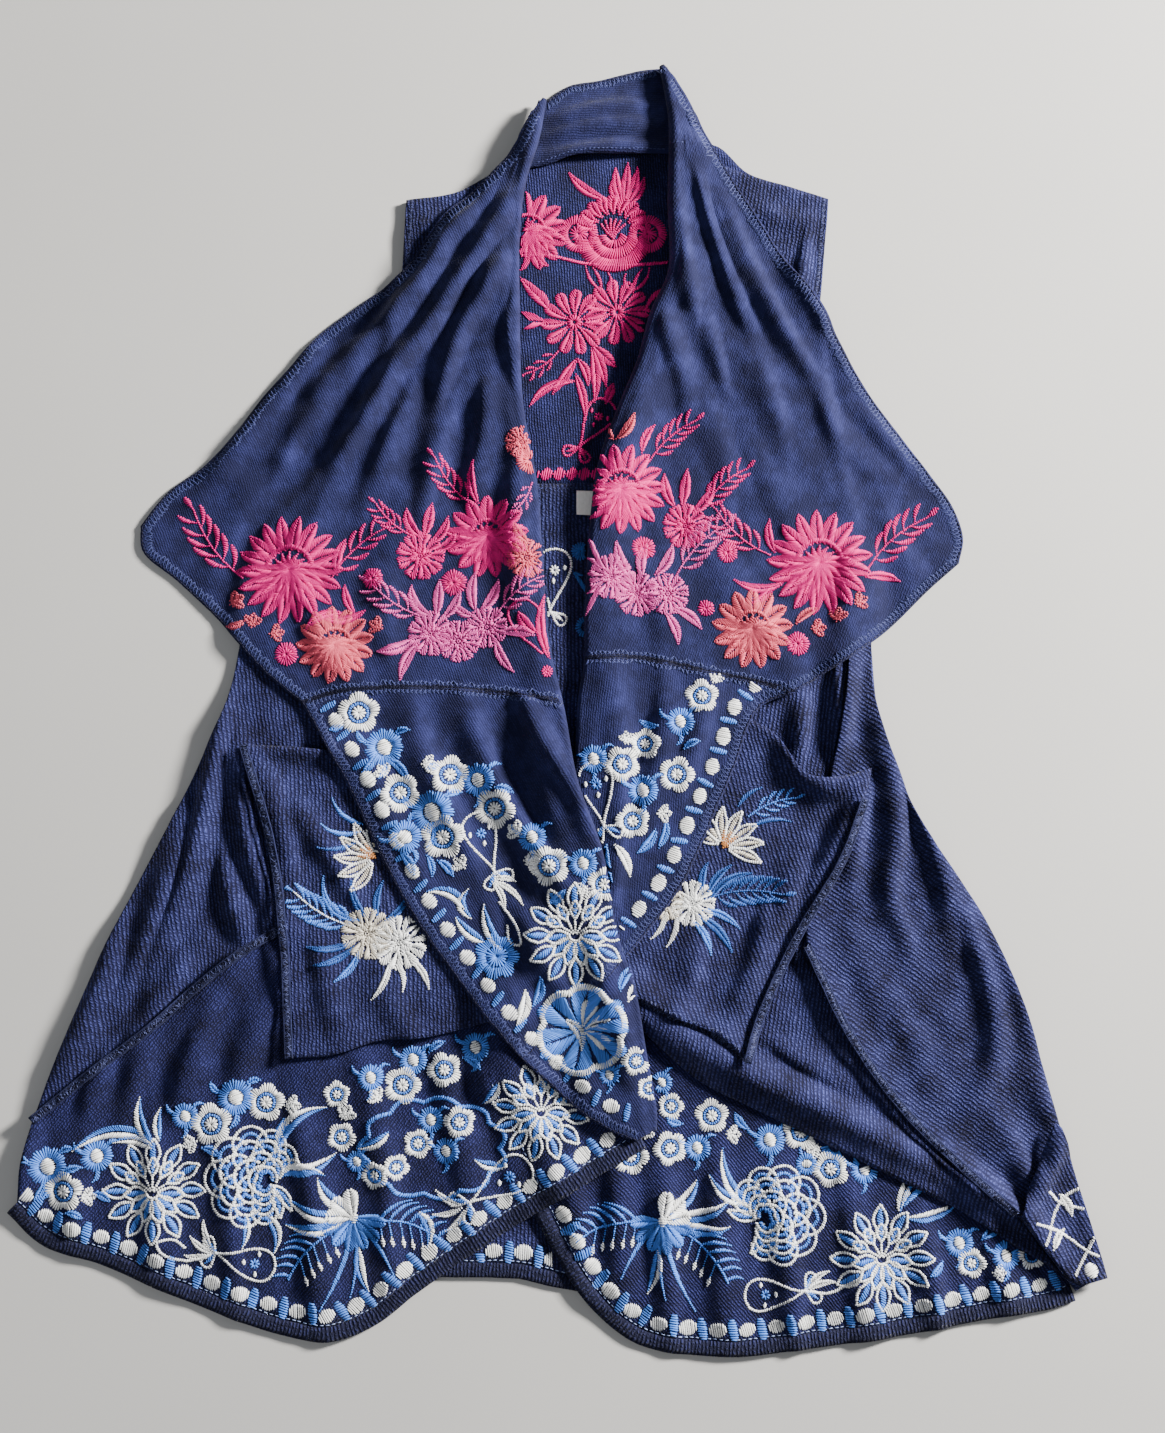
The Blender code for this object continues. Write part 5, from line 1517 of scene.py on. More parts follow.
def two_tone(needle, x0, y0, x1, y1, half, bend):
    """A leaf in two halves, cream and blue."""
    path = bent((x0, y0), (x1, y1), bend, LONG_SHAPE_POINTS)
    widths = resampled(leaf_shape(half * 1.2), LONG_SHAPE_POINTS)
    needle.satin(sideways(path, widths * 0.52), widths * 0.5, CREAM, 0.8)
    needle.satin(sideways(path, -widths * 0.52), widths * 0.46, BLUE, -0.8)


def line(needle, points, half, tone):
    """A narrow line through the points."""
    needle.satin(smooth(points), half, tone, 0.7)


def sprig(needle, x0, y0, x1, y1, tone, pairs, stem_tone=None):
    """A thin stem with pairs of small round-ended leaves and one at the tip."""
    path = even(bent((x0, y0), (x1, y1), 0.08, 30), STEM_STEPS)
    needle.satin(path, 0.7, stem_tone or tone, 0.9)
    length = run_along(path)[-1]
    direction = math.degrees(math.atan2(y1 - y0, x1 - x0))
    pairs = max(3, pairs - 1)
    for number in range(pairs):
        for side in (-1, 1):
            share = 0.2 + 0.78 * (number + 0.2 * side) / pairs
            foot = path[int(share * STEM_STEPS)]
            reach = length * (0.31 - 0.14 * abs(share - 0.4))
            tip = polar(*foot, direction + side * 35, reach)
            needle.satin(bent(foot, tip, 0.12 * side), petal_shape(max(1.5, reach * 0.13), 2.0), tone, 0.5)
    tip = polar(*path[-1], direction, length * 0.18)
    needle.satin(bent(path[-1], tip, 0), petal_shape(max(1.6, length * 0.042), 2.0), tone, 0.5)


def stemmed_sprig(needle, x0, y0, x1, y1, tone, pairs):
    """A sprig on a cream stem."""
    sprig(needle, x0, y0, x1, y1, tone, pairs, CREAM)


def petals(needle, x, y, inner, outer, count, half, turn, tone, shape, split=True, span=360):
    """A ring of petals, or the part of one that the span takes in."""
    for number in range(count):
        angle = turn + span * number / count
        path = bent(polar(x, y, angle, inner), polar(x, y, angle, outer), 0.04)
        needle.satin(path, shape(half), tone, 0.9, split)


def dahlia(needle, x, y, radius, turn, tone):
    """A ring of pointed petals, a lower fan over it and a small heart under a curled rim."""
    count = max(12, round(radius * 0.42))
    half = math.pi * radius * 0.80 / count
    petals(needle, x, y, radius * 0.40, radius, count, half, turn, tone, pointed_shape)
    needle.rise()
    petals(needle, x, y, radius * 0.04, radius * 0.70, 9, half * 0.85, 176, tone, pointed_shape, span=205)
    needle.satin(arc(x, y, radius * 0.43, range(12, 170, 12)), radius * 0.05, tone, 0.5)
    petals(needle, x, y, radius * 0.02, radius * 0.32, 5, half * 0.42, 36, tone, leaf_shape, False, 135)
    needle.rise(-1)


def daisy(needle, x, y, radius, turn, tone):
    """Eleven petals round a small centre."""
    petals(needle, x, y, radius * 0.26, radius, 11, radius * 0.20, turn, tone, petal_shape)
    needle.rise()
    needle.radial(x, y, radius * 0.05, radius * 0.26, tone)
    needle.rise(-1)


def round_flower(needle, x, y, radius, turn, tone):
    """A full flower of nine round petals."""
    petals(needle, x, y, radius * 0.34, radius, 9, radius * 0.32, turn, tone, petal_shape)
    needle.rise()
    petals(needle, x, y, radius * 0.06, radius * 0.5, 6, radius * 0.2, turn + 15, tone, leaf_shape)
    needle.rise(-1)


def pom(needle, x, y, radius, tone):
    """A tufted ball of two rings of uneven stitches."""
    uneven = needle.random
    needle.radial(x, y, radius * 0.35, lambda a: radius * (0.9 + 0.14 * uneven.random(a.shape)), tone)
    needle.rise()
    needle.radial(x, y, radius * 0.04, lambda a: radius * (0.5 + 0.15 * uneven.random(a.shape)), tone)
    needle.rise(-1)


def lobed(radius, lobes, depth, turn):
    """A rule for the edge of a flower with round lobes."""
    turn = math.radians(turn)
    return lambda angle: radius * (1 - depth + depth * np.abs(np.cos(lobes / 2 * (angle - turn))) ** 0.6)


def blossom(needle, x, y, radius, turn, tone=CREAM):
    """Five uneven round lobes, a blue ring and a small centre."""
    radius *= needle.random.uniform(1.0, 1.15)
    needle.radial(x, y, radius * 0.47, lobed(radius, 5, 0.30, turn), tone)
    needle.radial(x, y, radius * 0.33, radius * 0.48, BLUE)
    needle.rise()
    needle.radial(x, y, 0.3, radius * 0.34, tone)
    needle.rise(-1)


def bud(needle, x, y, radius, turn, tone=CREAM):
    """Three small lobes."""
    for angle in (turn - 55, turn, turn + 55):
        path = bent(polar(x, y, angle, -radius * 0.35), polar(x, y, angle, radius * 0.85), 0)
        needle.satin(path, petal_shape(radius * 0.36), tone, 0.4, True)


def blue_flower(needle, x, y, radius, turn):
    """A ruffled blue disc with three small leaves and a cream centre."""
    needle.radial(x, y, radius * 0.36, lobed(radius, 11, 0.16, turn), BLUE)
    for side in (35, 150, 262):
        tip = polar(x, y, turn + side, radius * 1.5)
        foot = polar(x, y, turn + side + 14, radius * 0.8)
        leaf(needle, *foot, *tip, radius * 0.17, 0.15, BLUE)
    needle.rise()
    needle.disc(x, y, radius * 0.40, turn + 20, CREAM)
    needle.rise(-1)


def blue_bloom(needle, x, y, radius, turn):
    """A blue flower of seven lobes under one of five."""
    needle.radial(x, y, radius * 0.4, lobed(radius, 7, 0.3, turn), BLUE)
    needle.rise()
    needle.radial(x, y, 0.4, lobed(radius * 0.55, 5, 0.3, turn + 20), BLUE)
    needle.rise(-1)


def outlined_petal(needle, foot, angle, length, half, bend=0.0, fill_tone=BLUE):
    """A petal drawn by its two cream edges, with a narrow filling where it is wide enough."""
    path = bent(foot, polar(*foot, angle, length), bend, LONG_SHAPE_POINTS)
    widths = resampled(leaf_shape(half, 1.0), LONG_SHAPE_POINTS)
    if half > 2.6:
        needle.satin(path[2:-2], widths[2:-2] * 0.5, fill_tone, 0.6)
    needle.rise(0.5)
    for side in (1, -1):
        needle.satin(sideways(path, widths * side), OUTLINE_HALF, CREAM, 0.5 * side)
    needle.rise(-0.5)


def lotus(needle, x, y, radius, turn):
    """Two rings of outlined petals round a striped cup."""
    for number in range(12):
        angle = turn + 30 * number
        outlined_petal(needle, polar(x, y, angle, radius * 0.48), angle, radius * 0.54, radius * 0.14, 0.03)
    needle.rise()
    for angle in (188, 222, 254, 286, 318, 352):
        outlined_petal(needle, polar(x, y, angle, radius * 0.12), angle, radius * 0.48, radius * 0.13)
    for angle in (30, 60, 90, 120, 150):
        outlined_petal(needle, polar(x, y, angle, radius * 0.34), angle, radius * 0.32, radius * 0.10)
        stripe = bent(polar(x, y, angle, radius * 0.05), polar(x, y, angle, radius * 0.30), 0)
        needle.satin(stripe, 0.8, CREAM, 0.7)
    needle.rise(-1)


def half_lotus(needle, x, y, radius, turn, heart):
    """A flower seen from the side: a fan of outlined petals round a coloured heart."""
    for number in range(7):
        angle = turn - 84 + 28 * number
        foot = polar(x, y, angle, radius * 0.16)
        outlined_petal(needle, foot, angle, radius * 0.8, radius * 0.13, 0.05, TAN)
    needle.rise()
    for angle in (turn - 24, turn, turn + 24):
        needle.satin(bent((x, y), polar(x, y, angle, radius * 0.42), 0), leaf_shape(2.4), heart, 0.8)
    needle.rise(-1)


def fan(needle, x, y, radius, turn):
    """A chrysanthemum from the side: tiers of round outlined petals that open from a spine."""
    tiers = ((1.0, 8, 108), (0.76, 7, 104), (0.52, 5, 98), (0.29, 3, 80))
    for reach, count, spread in tiers:
        step = 2 * spread / (count - 1)
        for number in range(count):
            lean = number * step - spread
            long = radius * reach * (0.76 + 0.24 * math.cos(math.radians(lean)))
            half = long * math.sin(math.radians(step / 2)) * 1.12
            heart = polar(x, y, turn + lean, long - half)
            angles = [turn + lean + angle for angle in range(-105, 106, 15)]
            edge_of_petal = arc(*heart, half, angles)
            needle.satin(edge_of_petal, 1.3, CREAM, 0.5)
            needle.satin(heart + (edge_of_petal - heart) * 0.58, 1.5, BLUE, 0.5)
        needle.rise()
    needle.rise(-len(tiers))
    for lean in (132, 152, -128):
        foot = polar(x, y, turn + lean, radius * 0.1)
        outlined_petal(needle, foot, turn + lean, radius * 0.52, radius * 0.08, 0.1)


def ribbon(needle, x, y, length, turn, tone, inside):
    """A tied ribbon: a wide teardrop loop with a small flower in it, two small loops and a knot."""
    def looped(angle, reach, width):
        t = np.linspace(0, 2 * math.pi, 40)
        along = reach * (1 - np.cos(t)) / 2
        across = width * np.sin(t) * (1 - np.cos(t)) / 2
        way = polar(0, 0, turn + angle, 1)
        return np.array([x, y]) + along[:, None] * way + across[:, None] * np.array([-way[1], way[0]])

    needle.satin(looped(0, length, length * 0.40), OUTLINE_HALF, tone, 0.5)
    for angle in (140, -120):
        needle.satin(looped(angle, length * 0.3, length * 0.14), OUTLINE_HALF, tone, 0.5)
        end = polar(x, y, turn + angle, length * 0.24)
        needle.satin(bent((x, y), end, 0), leaf_shape(length * 0.05), inside, 0.6)
    heart = polar(x, y, turn, length * 0.66)
    needle.radial(*heart, 0.5, length * 0.09, inside)
    for angle in (80, 180, 290):
        needle.disc(*polar(*heart, turn + angle, length * 0.17), length * 0.035, 0, tone)


def fern(needle, x0, y0, x1, y1, side):
    """A bowed blue stem with long leaves on one side and cream drops on thin stalks on the other."""
    path = even(bent((x0, y0), (x1, y1), 0.10 * side, 30), STEM_STEPS)
    needle.satin(path, 0.9, BLUE, 0.9)
    length = run_along(path)[-1]
    way = math.degrees(math.atan2(y1 - y0, x1 - x0))
    for number in range(7):
        foot = path[int(STEM_STEPS * (0.22 + 0.125 * number))]
        tip = polar(*foot, way + side * 44, length * (0.44 - 0.04 * number))
        needle.satin(bent(foot, tip, 0.12 * side), leaf_shape(1.7), BLUE, 0.8)
        if number < 5:
            drop = polar(*foot, way - side * 66, length * 0.2)
            needle.satin(bent(foot, drop, 0), 0.5, BLUE, 0.8)
            needle.satin(bent(drop, polar(*drop, way - side * 66, 7), 0), leaf_shape(1.9, 1.3), CREAM, 0.5)


def plume(needle, x, y, length, turn, flip):
    """A cream flower over broad blue petals, with two ferns, long blades and two-toned leaves."""
    def at(angle, reach):
        return polar(x, y, turn + flip * angle, length * reach)

    for angle, side in ((76, flip), (-47, -flip)):
        fern(needle, *at(angle, 0.12), *at(angle, 1.2), side)
    for angle, reach, half in ((-20, 1.3, 0.035), (36, 0.95, 0.035), (-2, 1.05, 0.03)):
        needle.satin(bent((x, y), at(angle, reach), 0.06 * flip), leaf_shape(length * half), BLUE, 0.9)
    two_tone(needle, *at(10, 0.4), *at(12, 1.0), 3.6, -0.08 * flip)
    for angle, reach in ((-84, 0.92), (-106, 0.95), (-138, 0.72)):
        two_tone(needle, *at(angle, 0.12), *at(angle, reach), 4.4, 0.12 * flip)
    needle.rise()
    for number, angle in enumerate((-66, -36, -8, 22, 52, 84)):
        tone = BLUE if number % 2 else DEEP_BLUE
        needle.satin(bent((x, y), at(angle, 0.42), 0), petal_shape(length * 0.085), tone, 0.9, True)
    needle.rise()
    for angle in (-170, -130, -95):
        needle.satin(bent((x, y), at(angle, 0.36), 0), petal_shape(length * 0.11), CREAM, 0.6, True)
    needle.disc(x, y, length * 0.07, 0, CREAM)
    needle.rise(-2)


def peony(needle, x, y, radius, turn, tone, heart):
    """A full bloom: broad petals inside a scalloped rim, with a smaller cup of petals over them."""
    petals(needle, x, y, radius * 0.08, radius * 0.9, 6, radius * 0.40, turn, tone, petal_shape)
    needle.rise()
    rim = lobed(radius * 0.97, 6, 0.14, turn)
    angles = np.linspace(0, 2 * math.pi, 120)
    scallops = np.array([x, y]) + rim(angles)[:, None] * np.stack([np.cos(angles), np.sin(angles)], axis=1)
    needle.satin(scallops, radius * 0.085, heart, 0.3)
    petals(needle, x, y, radius * 0.10, radius * 0.62, 3, radius * 0.19, turn - 50, heart, petal_shape,
           span=150)
    needle.satin(bent(polar(x, y, turn + 130, radius * 0.45), polar(x, y, turn - 110, radius * 0.45), 0.2),
                 leaf_shape(radius * 0.13), heart, 0.5, True)
    needle.rise(-1)


def bowl(needle, x, y, radius, turn, tone):
    """A wide flower from the side: round cheeks, a deep petal between them and an open top."""
    cheek = radius * 0.36
    for side in (-1, 1):
        for share in (0.78, 0.26):
            ring = arc(x + side * radius * 0.64, y, cheek * share, np.linspace(0, 360, 30))
            needle.satin(ring, cheek * 0.27, tone, 0.3)
    needle.rise()
    for share, half in ((0.60, 0.15), (0.38, 0.12), (0.20, 0.09)):
        row = arc(x, y, radius * share, np.linspace(192 + turn, 348 + turn, 30))
        needle.satin(row, radius * half, tone, 0.3)
    top = y + radius * 0.06
    for angle in range(8, 180, 20):
        path = bent(polar(x, top, angle, radius * 0.33), polar(x, top, angle, radius * 0.66), 0.1)
        needle.satin(path, petal_shape(radius * 0.12), tone, 0.6, True)
    for angle in range(40, 150, 20):
        stripe = bent(polar(x, y, -90, radius * 0.08), polar(x, y, angle, radius * 0.28), 0.05)
        needle.satin(stripe, 0.9, tone, 0.7)
    needle.rise(-1)


def cloud(needle, x, y, half_width, half_height):
    """A scalloped outline round a group of blossoms."""
    t = np.linspace(0, 2 * math.pi, 160)
    size = 1 + 0.13 * np.abs(np.sin(5.5 * t))
    path = np.stack([x + half_width * size * np.cos(t), y + half_height * size * np.sin(t)], axis=1)
    needle.satin(path, 1.9, BLUE, 0.5)


def chain(needle, x0, y0, x1, y1, tone):
    """A row of lozenges that touch."""
    start = np.array([x0, y0], float)
    end = np.array([x1, y1], float)
    count = int(np.linalg.norm(end - start) / LOZENGE_STEP)
    for number in range(count):
        middle = start + (end - start) * (number + 0.5) / count
        ends = (middle - (LOZENGE_HALF, 0), middle + (LOZENGE_HALF, 0))
        needle.satin(bent(*ends, 0), leaf_shape(6.5, 1.0), tone, 0.2)


def dot(needle, x, y, radius, turn, tone):
    """A round dot."""
    needle.disc(x, y, radius, turn, tone)


def border(needle, points, side, inset_by, step, dash_length, dash_half, first=0.0, last=1.0):
    """Cream dots inside an edge, at even steps, with slanted blue dashes between them."""
    path = sideways(smooth(points), side * inset_by)
    places = even(path, round(run_along(path)[-1] / step))
    places = places[int(first * len(places)):math.ceil(last * len(places))]
    for place, following in zip(places[:-1], places[1:]):
        turn = math.degrees(math.atan2(*(following - place)[::-1]))
        needle.disc(*place, DOT_RADIUS * needle.random.uniform(0.92, 1.06), turn + DOT_TURN, CREAM)
        middle = (place + following) / 2 + needle.random.normal(0, 0.5, 2)
        axis = polar(0, 0, turn + DASH_TURN + needle.random.normal(0, DASH_VARIES), dash_length / 2)
        needle.satin(np.array([middle - axis, middle + axis]), dash_half * ROUNDED_ENDS, BLUE, 0.2)


MOTIFS = {
    "leaf": leaf, "leaves": leaves, "two_tone": two_tone, "line": line, "sprig": sprig,
    "stemmed_sprig": stemmed_sprig, "dahlia": dahlia, "daisy": daisy, "round": round_flower, "pom": pom,
    "blossom": blossom, "bud": bud, "blue_flower": blue_flower, "blue_bloom": blue_bloom, "lotus": lotus,
    "half_lotus": half_lotus, "fan": fan, "ribbon": ribbon, "plume": plume, "peony": peony, "bowl": bowl,
    "cloud": cloud, "chain": chain, "dot": dot,
}


class Ground:
    """All outer faces of the laid cloth, seen from above."""

    def __init__(self, shells):
        points = []
        faces = []
        self.first = []
        self.names = []
        total = 0
        for shell in shells:
            place, triangles = shell.triangles()
            self.first.append(sum(len(f) for f in faces))
            self.names.append(shell.name)
            points.append(place)
            faces.append(triangles + total)
            total += len(place)
        self.tree = BVHTree.FromPolygons(np.concatenate(points).tolist(), np.concatenate(faces).tolist())

    def below(self, x, y):
        """The first cloth below a place: its point, its normal and the piece's name."""
        point, normal, face, _ = self.tree.ray_cast(Vector((x, y, LOOK_FROM)), Vector((0, 0, -1)))
        if point is None:
            return None
        if normal.z < 0:
            normal.negate()
        return point, normal, self.names[int(np.searchsorted(self.first, face, side="right")) - 1]


# The triangles of one thread: its two ends are corners 0 and 7, with three corners at each section
THREAD_FACES = (
    (0, 1, 3), (0, 3, 2), (0, 2, 1), (7, 6, 4), (7, 5, 6), (7, 4, 5),
    (1, 4, 6), (1, 6, 3), (3, 6, 5), (3, 5, 2), (2, 5, 4), (2, 4, 1),
)


def seen(rows, ground, on):
    """The stitches that lie on the named pieces: both ends, normals, tone, width, stand and rise."""
    kept = []
    for x0, y0, x1, y1, red, green, blue, width, layer in rows.tolist():
        start = ground.below(x0, y0)
        end = ground.below(x1, y1)
        if start is None or end is None or start[2] not in on or end[2] not in on:
            continue
        reach = math.hypot(x1 - x0, y1 - y0)
        if reach < SHORTEST_STITCH or abs(start[0].z - end[0].z) > STITCH_SLOPE * reach + STITCH_STEP:
            continue
        rise = 0.0
        if reach > LONG_STITCH:
            middle = ground.below((x0 + x1) / 2, (y0 + y1) / 2)
            if middle is None or middle[2] not in on:
                continue
            rise = max(0.0, middle[0].z - (start[0].z + end[0].z) / 2)
        kept.append((*start[0], *end[0], *(start[1] + end[1]), red, green, blue, width, layer, rise))
    return np.array(kept)


def sewn(name, needle, ground, on):
    """Makes the needle's stitches lie on the named pieces, as one object of small closed threads."""
    kept = seen(np.concatenate(needle.rows), ground, on)
    start = kept[:, 0:3]
    end = kept[:, 3:6]
    normal = kept[:, 6:9] / np.linalg.norm(kept[:, 6:9], axis=1)[:, None]
    tone = kept[:, 9:12]
    width = kept[:, 12:13]
    stand = kept[:, 13:14]
    rise = kept[:, 14:15]
    axis = end - start
    side = np.cross(axis, normal)
    side *= width / 2 / np.maximum(np.linalg.norm(side, axis=1), 1e-9)[:, None]
    height = normal * (THREAD_HEIGHT * width + stand + rise)
    foot = normal * (stand + rise - THREAD_SINKS)
    corners = [start + normal * (stand - THREAD_SINKS)]
    for share in SECTIONS:
        middle = start + axis * share
        corners += [middle + side + foot, middle - side + foot, middle + height]
    corners.append(end + normal * (stand - THREAD_SINKS))
    points = on_table(np.stack(corners, axis=1))
    faces = np.arange(len(points))[:, None, None] * points.shape[1] + np.array(THREAD_FACES)[None]
    item = new_mesh(name, points.reshape(-1, 3), faces.reshape(-1, 3),
                    bpy.data.materials["embroidery_thread"])
    smooth_shaded(item.data)
    # Painted shade at each thread's ends and sides and a painted highlight on its ridge, multiplied into its
    # tint
    shade = np.array([END_PAINTED_SHADE, SIDE_PAINTED_SHADE, SIDE_PAINTED_SHADE, RIDGE_PAINTED_HIGHLIGHT, SIDE_PAINTED_SHADE, SIDE_PAINTED_SHADE, RIDGE_PAINTED_HIGHLIGHT,
                      END_PAINTED_SHADE])
    tints = np.clip(tone[:, None, :] * shade[None, :, None], 0, 1).reshape(-1, 3)
    tints = np.concatenate([tints, np.ones((len(tints), 1))], axis=1)
    colour = item.data.color_attributes.new(TINT, "FLOAT_COLOR", "POINT")
    colour.data.foreach_set("color", tints.astype(np.float32).ravel())
    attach(item, "root")


# Borders as the dots' distance from the edge, their step, and the dashes' length and half width
HEM_DOTS = (BINDING_WIDTH + 8.5, 22.5, 15, 4.2)
POINT_DOTS = (OVERLOCK_WIDTH + 7.2, 25.5, 12, 2.9)

# Pieces of embroidery as a name, the cut pieces that carry it, its motifs, and its border as an
# edge, its side, its dots, and the shares of the edge at which it starts and ends
EMBROIDERY = (
    ("embroidery_back", BACK_PIECES, BACK_MOTIFS, (BACK_HEM, 1, *HEM_DOTS, 0.1, 0.95)),
    ("embroidery_lapel_left", ("lapel_left_upper",), LEFT_LAPEL_MOTIFS, None),
    ("embroidery_lapel_right", ("lapel_right_upper",), RIGHT_LAPEL_MOTIFS, None),
    ("embroidery_point_left", ("lapel_left_lower",), LEFT_POINT_MOTIFS,
     (LEFT_POINT_EDGE, 1, *POINT_DOTS, 0.03)),
    ("embroidery_point_right", ("lapel_right_lower",), RIGHT_POINT_MOTIFS,
     (RIGHT_POINT_EDGE, -1, *POINT_DOTS, 0.03)),
    ("embroidery_pocket_left", ("pocket_left",), LEFT_POCKET_MOTIFS, None),
    ("embroidery_pocket_right", ("pocket_right",), RIGHT_POCKET_MOTIFS, None),
    ("embroidery_hem_left", ("front_left_skirt", "front_left_body"), LEFT_HEM_MOTIFS,
     (LEFT_HEM, 1, *HEM_DOTS)),
    ("embroidery_hem_right", ("front_right_skirt",), RIGHT_HEM_MOTIFS, (RIGHT_HEM, 1, *HEM_DOTS, 0.08)),
    ("embroidery_godet", ("godet_right",), GODET_MOTIFS, None),
)


def embroider(ground):
    """All embroidery, one object for each row above."""
    for number, (name, pieces, motifs, dots) in enumerate(EMBROIDERY):
        needle = Needle(number)
        if dots:
            border(needle, *dots)
        for kind, *values in motifs:
            MOTIFS[kind](needle, *values)
        sewn(name, needle, ground, pieces)


def overlock(needle, points, side, width=OVERLOCK_WIDTH):
    """Looped overlock stitches over an edge: uneven loops between two lines of chain."""
    curve = even(smooth(points), int(run_along(smooth(points))[-1] / OVERLOCK_PITCH))
    uneven = needle.random.normal(0, OVERLOCK_VARIES, len(curve))
    outer = sideways(curve, side * (OVERLOCK_START + 0.3 * uneven))
    inner = sideways(curve, side * (width + uneven))
    needle.sew(outer[:-1], inner[1:], SEWING, 0.9)
    needle.sew(inner[:-1], outer[1:], SEWING, 0.8)
    needle.sew(inner[:-1], (inner[1:] + outer[1:]) / 2, SEWING, 0.9)
    # The outer chain takes the near-black tone: painted shade along the overlocked edge
    needle.sew(outer[:-1], outer[1:], EDGE_PAINTED_SHADE, 1.2)


def running(needle, points, inward, length, gap, tone, width):
    """A running stitch along a seam or hem."""
    curve = sideways(smooth(points), inward)
    run = run_along(curve)
    starts = np.arange(0, run[-1] - length, length + gap)
    place = [np.stack([np.interp(at, run, curve[:, 0]), np.interp(at, run, curve[:, 1])], axis=1)
             for at in (starts, starts + length)]
    needle.sew(place[0], place[1], tone, width)


def fray(needle, curve, side, reach, tone):
    """Loose fibres along a raw edge."""
    curve = even(curve, int(run_along(curve)[-1] / FRAY_PITCH))
    out = sideways(curve, -side) - curve
    slant = needle.random.normal(0, 0.9, (len(curve), 1)) * np.stack([-out[:, 1], out[:, 0]], axis=1)
    long = needle.random.uniform(0.2, 1.0, (len(curve), 1)) * reach
    needle.sew(curve - out * 1.5, curve + (out + slant) * long, tone, FRAY_WIDTH)


# Overlocked edges of the lapels, and the side on which the cloth lies
OVERLOCKED = ((LEFT_LAPEL_EDGE, 1), (LEFT_LAPEL_HEM, -1), (LEFT_POINT_EDGE, 1),
              (RIGHT_LAPEL_EDGE, -1), (RIGHT_LAPEL_HEM, 1), (RIGHT_POINT_EDGE, -1))

# Raw seams, and the armholes and shoulders with the side on which the cloth lies
RAW_SEAMS = (POCKET_LEFT_EDGE, POCKET_RIGHT_EDGE[1:], LEFT_SKIRT_SEAM[:6], RIGHT_SIDE_SEAM[3:-1],
             POCKET_LEFT_FOOT, POCKET_RIGHT_FOOT, RIGHT_PLEAT[5:])
RAW_OPENINGS = ((ARMHOLE_LEFT[:4], 1), (ARMHOLE_RIGHT[:4], -1), (SHOULDERS, 1))


def sew_edges(ground):
    """Overlocked edges, topstitching, running stitches and frayed raw edges."""
    needle = Needle(seed=50)
    for points, side in OVERLOCKED:
        overlock(needle, points, side)
    overlock(needle, COLLAR_TOP, -1, COLLAR_OVERLOCK)
    sewn("overlock_edges", needle, ground, LAPEL_PIECES)

    needle = Needle(seed=51)
    for seam in (LEFT_LAPEL_SEAM, RIGHT_LAPEL_SEAM):
        for side in (-1, 1):
            overlock(needle, seam, side, SEAM_OVERLOCK)
        # Near-black fibres along the lapel seams: painted shade in the seam
        for side in (1, -1):
            fray(needle, smooth(seam), side, 2.4, EDGE_PAINTED_SHADE)
    running(needle, NECK_SEAM, 3, length=2.6, gap=0.9, tone=SEWING, width=0.9)
    sewn("lapel_stitches", needle, ground, LAPEL_PIECES)

    needle = Needle(seed=52)
    for hem in (LEFT_HEM, RIGHT_HEM):
        running(needle, hem, HEM_STITCHES, length=3.4, gap=1.0, tone=RUNNING, width=1.0)
    sewn("hem_stitches", needle, ground, SKIRT_PIECES)

    needle = Needle(seed=53)
    running(needle, BACK_HEM, HEM_STITCHES, length=3.4, gap=1.0, tone=RUNNING, width=1.0)
    running(needle, BACK_SEAM, -4, length=2.6, gap=0.9, tone=SEWING, width=0.9)
    sewn("back_stitches", needle, ground, BACK_PIECES)

    needle = Needle(seed=54)
    # Raw seams and openings get fibres in the cloth's light tone and in a near-black tone that is painted
    # shade at the edge
    for points in RAW_SEAMS:
        for side in (1, -1):
            for tone in (RAW_LIGHT, EDGE_PAINTED_SHADE):
                fray(needle, smooth(points), side, 3.4, tone)
    for points, side in RAW_OPENINGS:
        for inward in (0.0, 4.0):
            for tone in (RAW_LIGHT, EDGE_PAINTED_SHADE):
                fray(needle, smooth(sideways(smooth(points, 4), side * inward)), side, 3.0, tone)
    sewn("frayed_edges", needle, ground, set(ground.names) - set(LAPEL_PIECES) - set(SKIRT_PIECES))


# Colours of cloth, floor and sky as linear red, green and blue
# The dark and light stops of each knit are reached partly through uneven dye and partly through painted shade
# between the knit's loops and a painted highlight on them
NAVY_DARK = (0.0044, 0.0044, 0.0169)
NAVY_MIDDLE = (0.0222, 0.0251, 0.0937)
NAVY_LIGHT = (0.0727, 0.0867, 0.3002)
FINE_DARK = (0.0039, 0.0042, 0.0183)
FINE_MIDDLE = (0.0150, 0.0171, 0.0771)
FINE_LIGHT = (0.0457, 0.0529, 0.2181)
JERSEY_DARK = (0.0078, 0.0090, 0.0382)
JERSEY_MIDDLE = (0.0228, 0.0264, 0.1058)
JERSEY_LIGHT = (0.0569, 0.0667, 0.2401)
RIB_MIDDLE = (0.0126, 0.0142, 0.0380)
# Raw edges are coloured darker than the knit they are cut from: painted shade on the curled allowances
RAW_EDGE_DARK = (0.0024, 0.0024, 0.0080)
RAW_EDGE_LIGHT = (0.0270, 0.0320, 0.0970)
TAPE_DARK = (0.74, 0.72, 0.67)
TAPE_LIGHT = (0.95, 0.94, 0.90)
FLOOR_DARK = (0.54, 0.53, 0.51)
FLOOR_LIGHT = (0.58, 0.57, 0.55)
SKY = (0.9, 0.94, 1.0, 1.0)
SKY_STRENGTH = 0.22

# Spacing of the threads of a tape, in metres
TAPE_THREAD = 0.0011


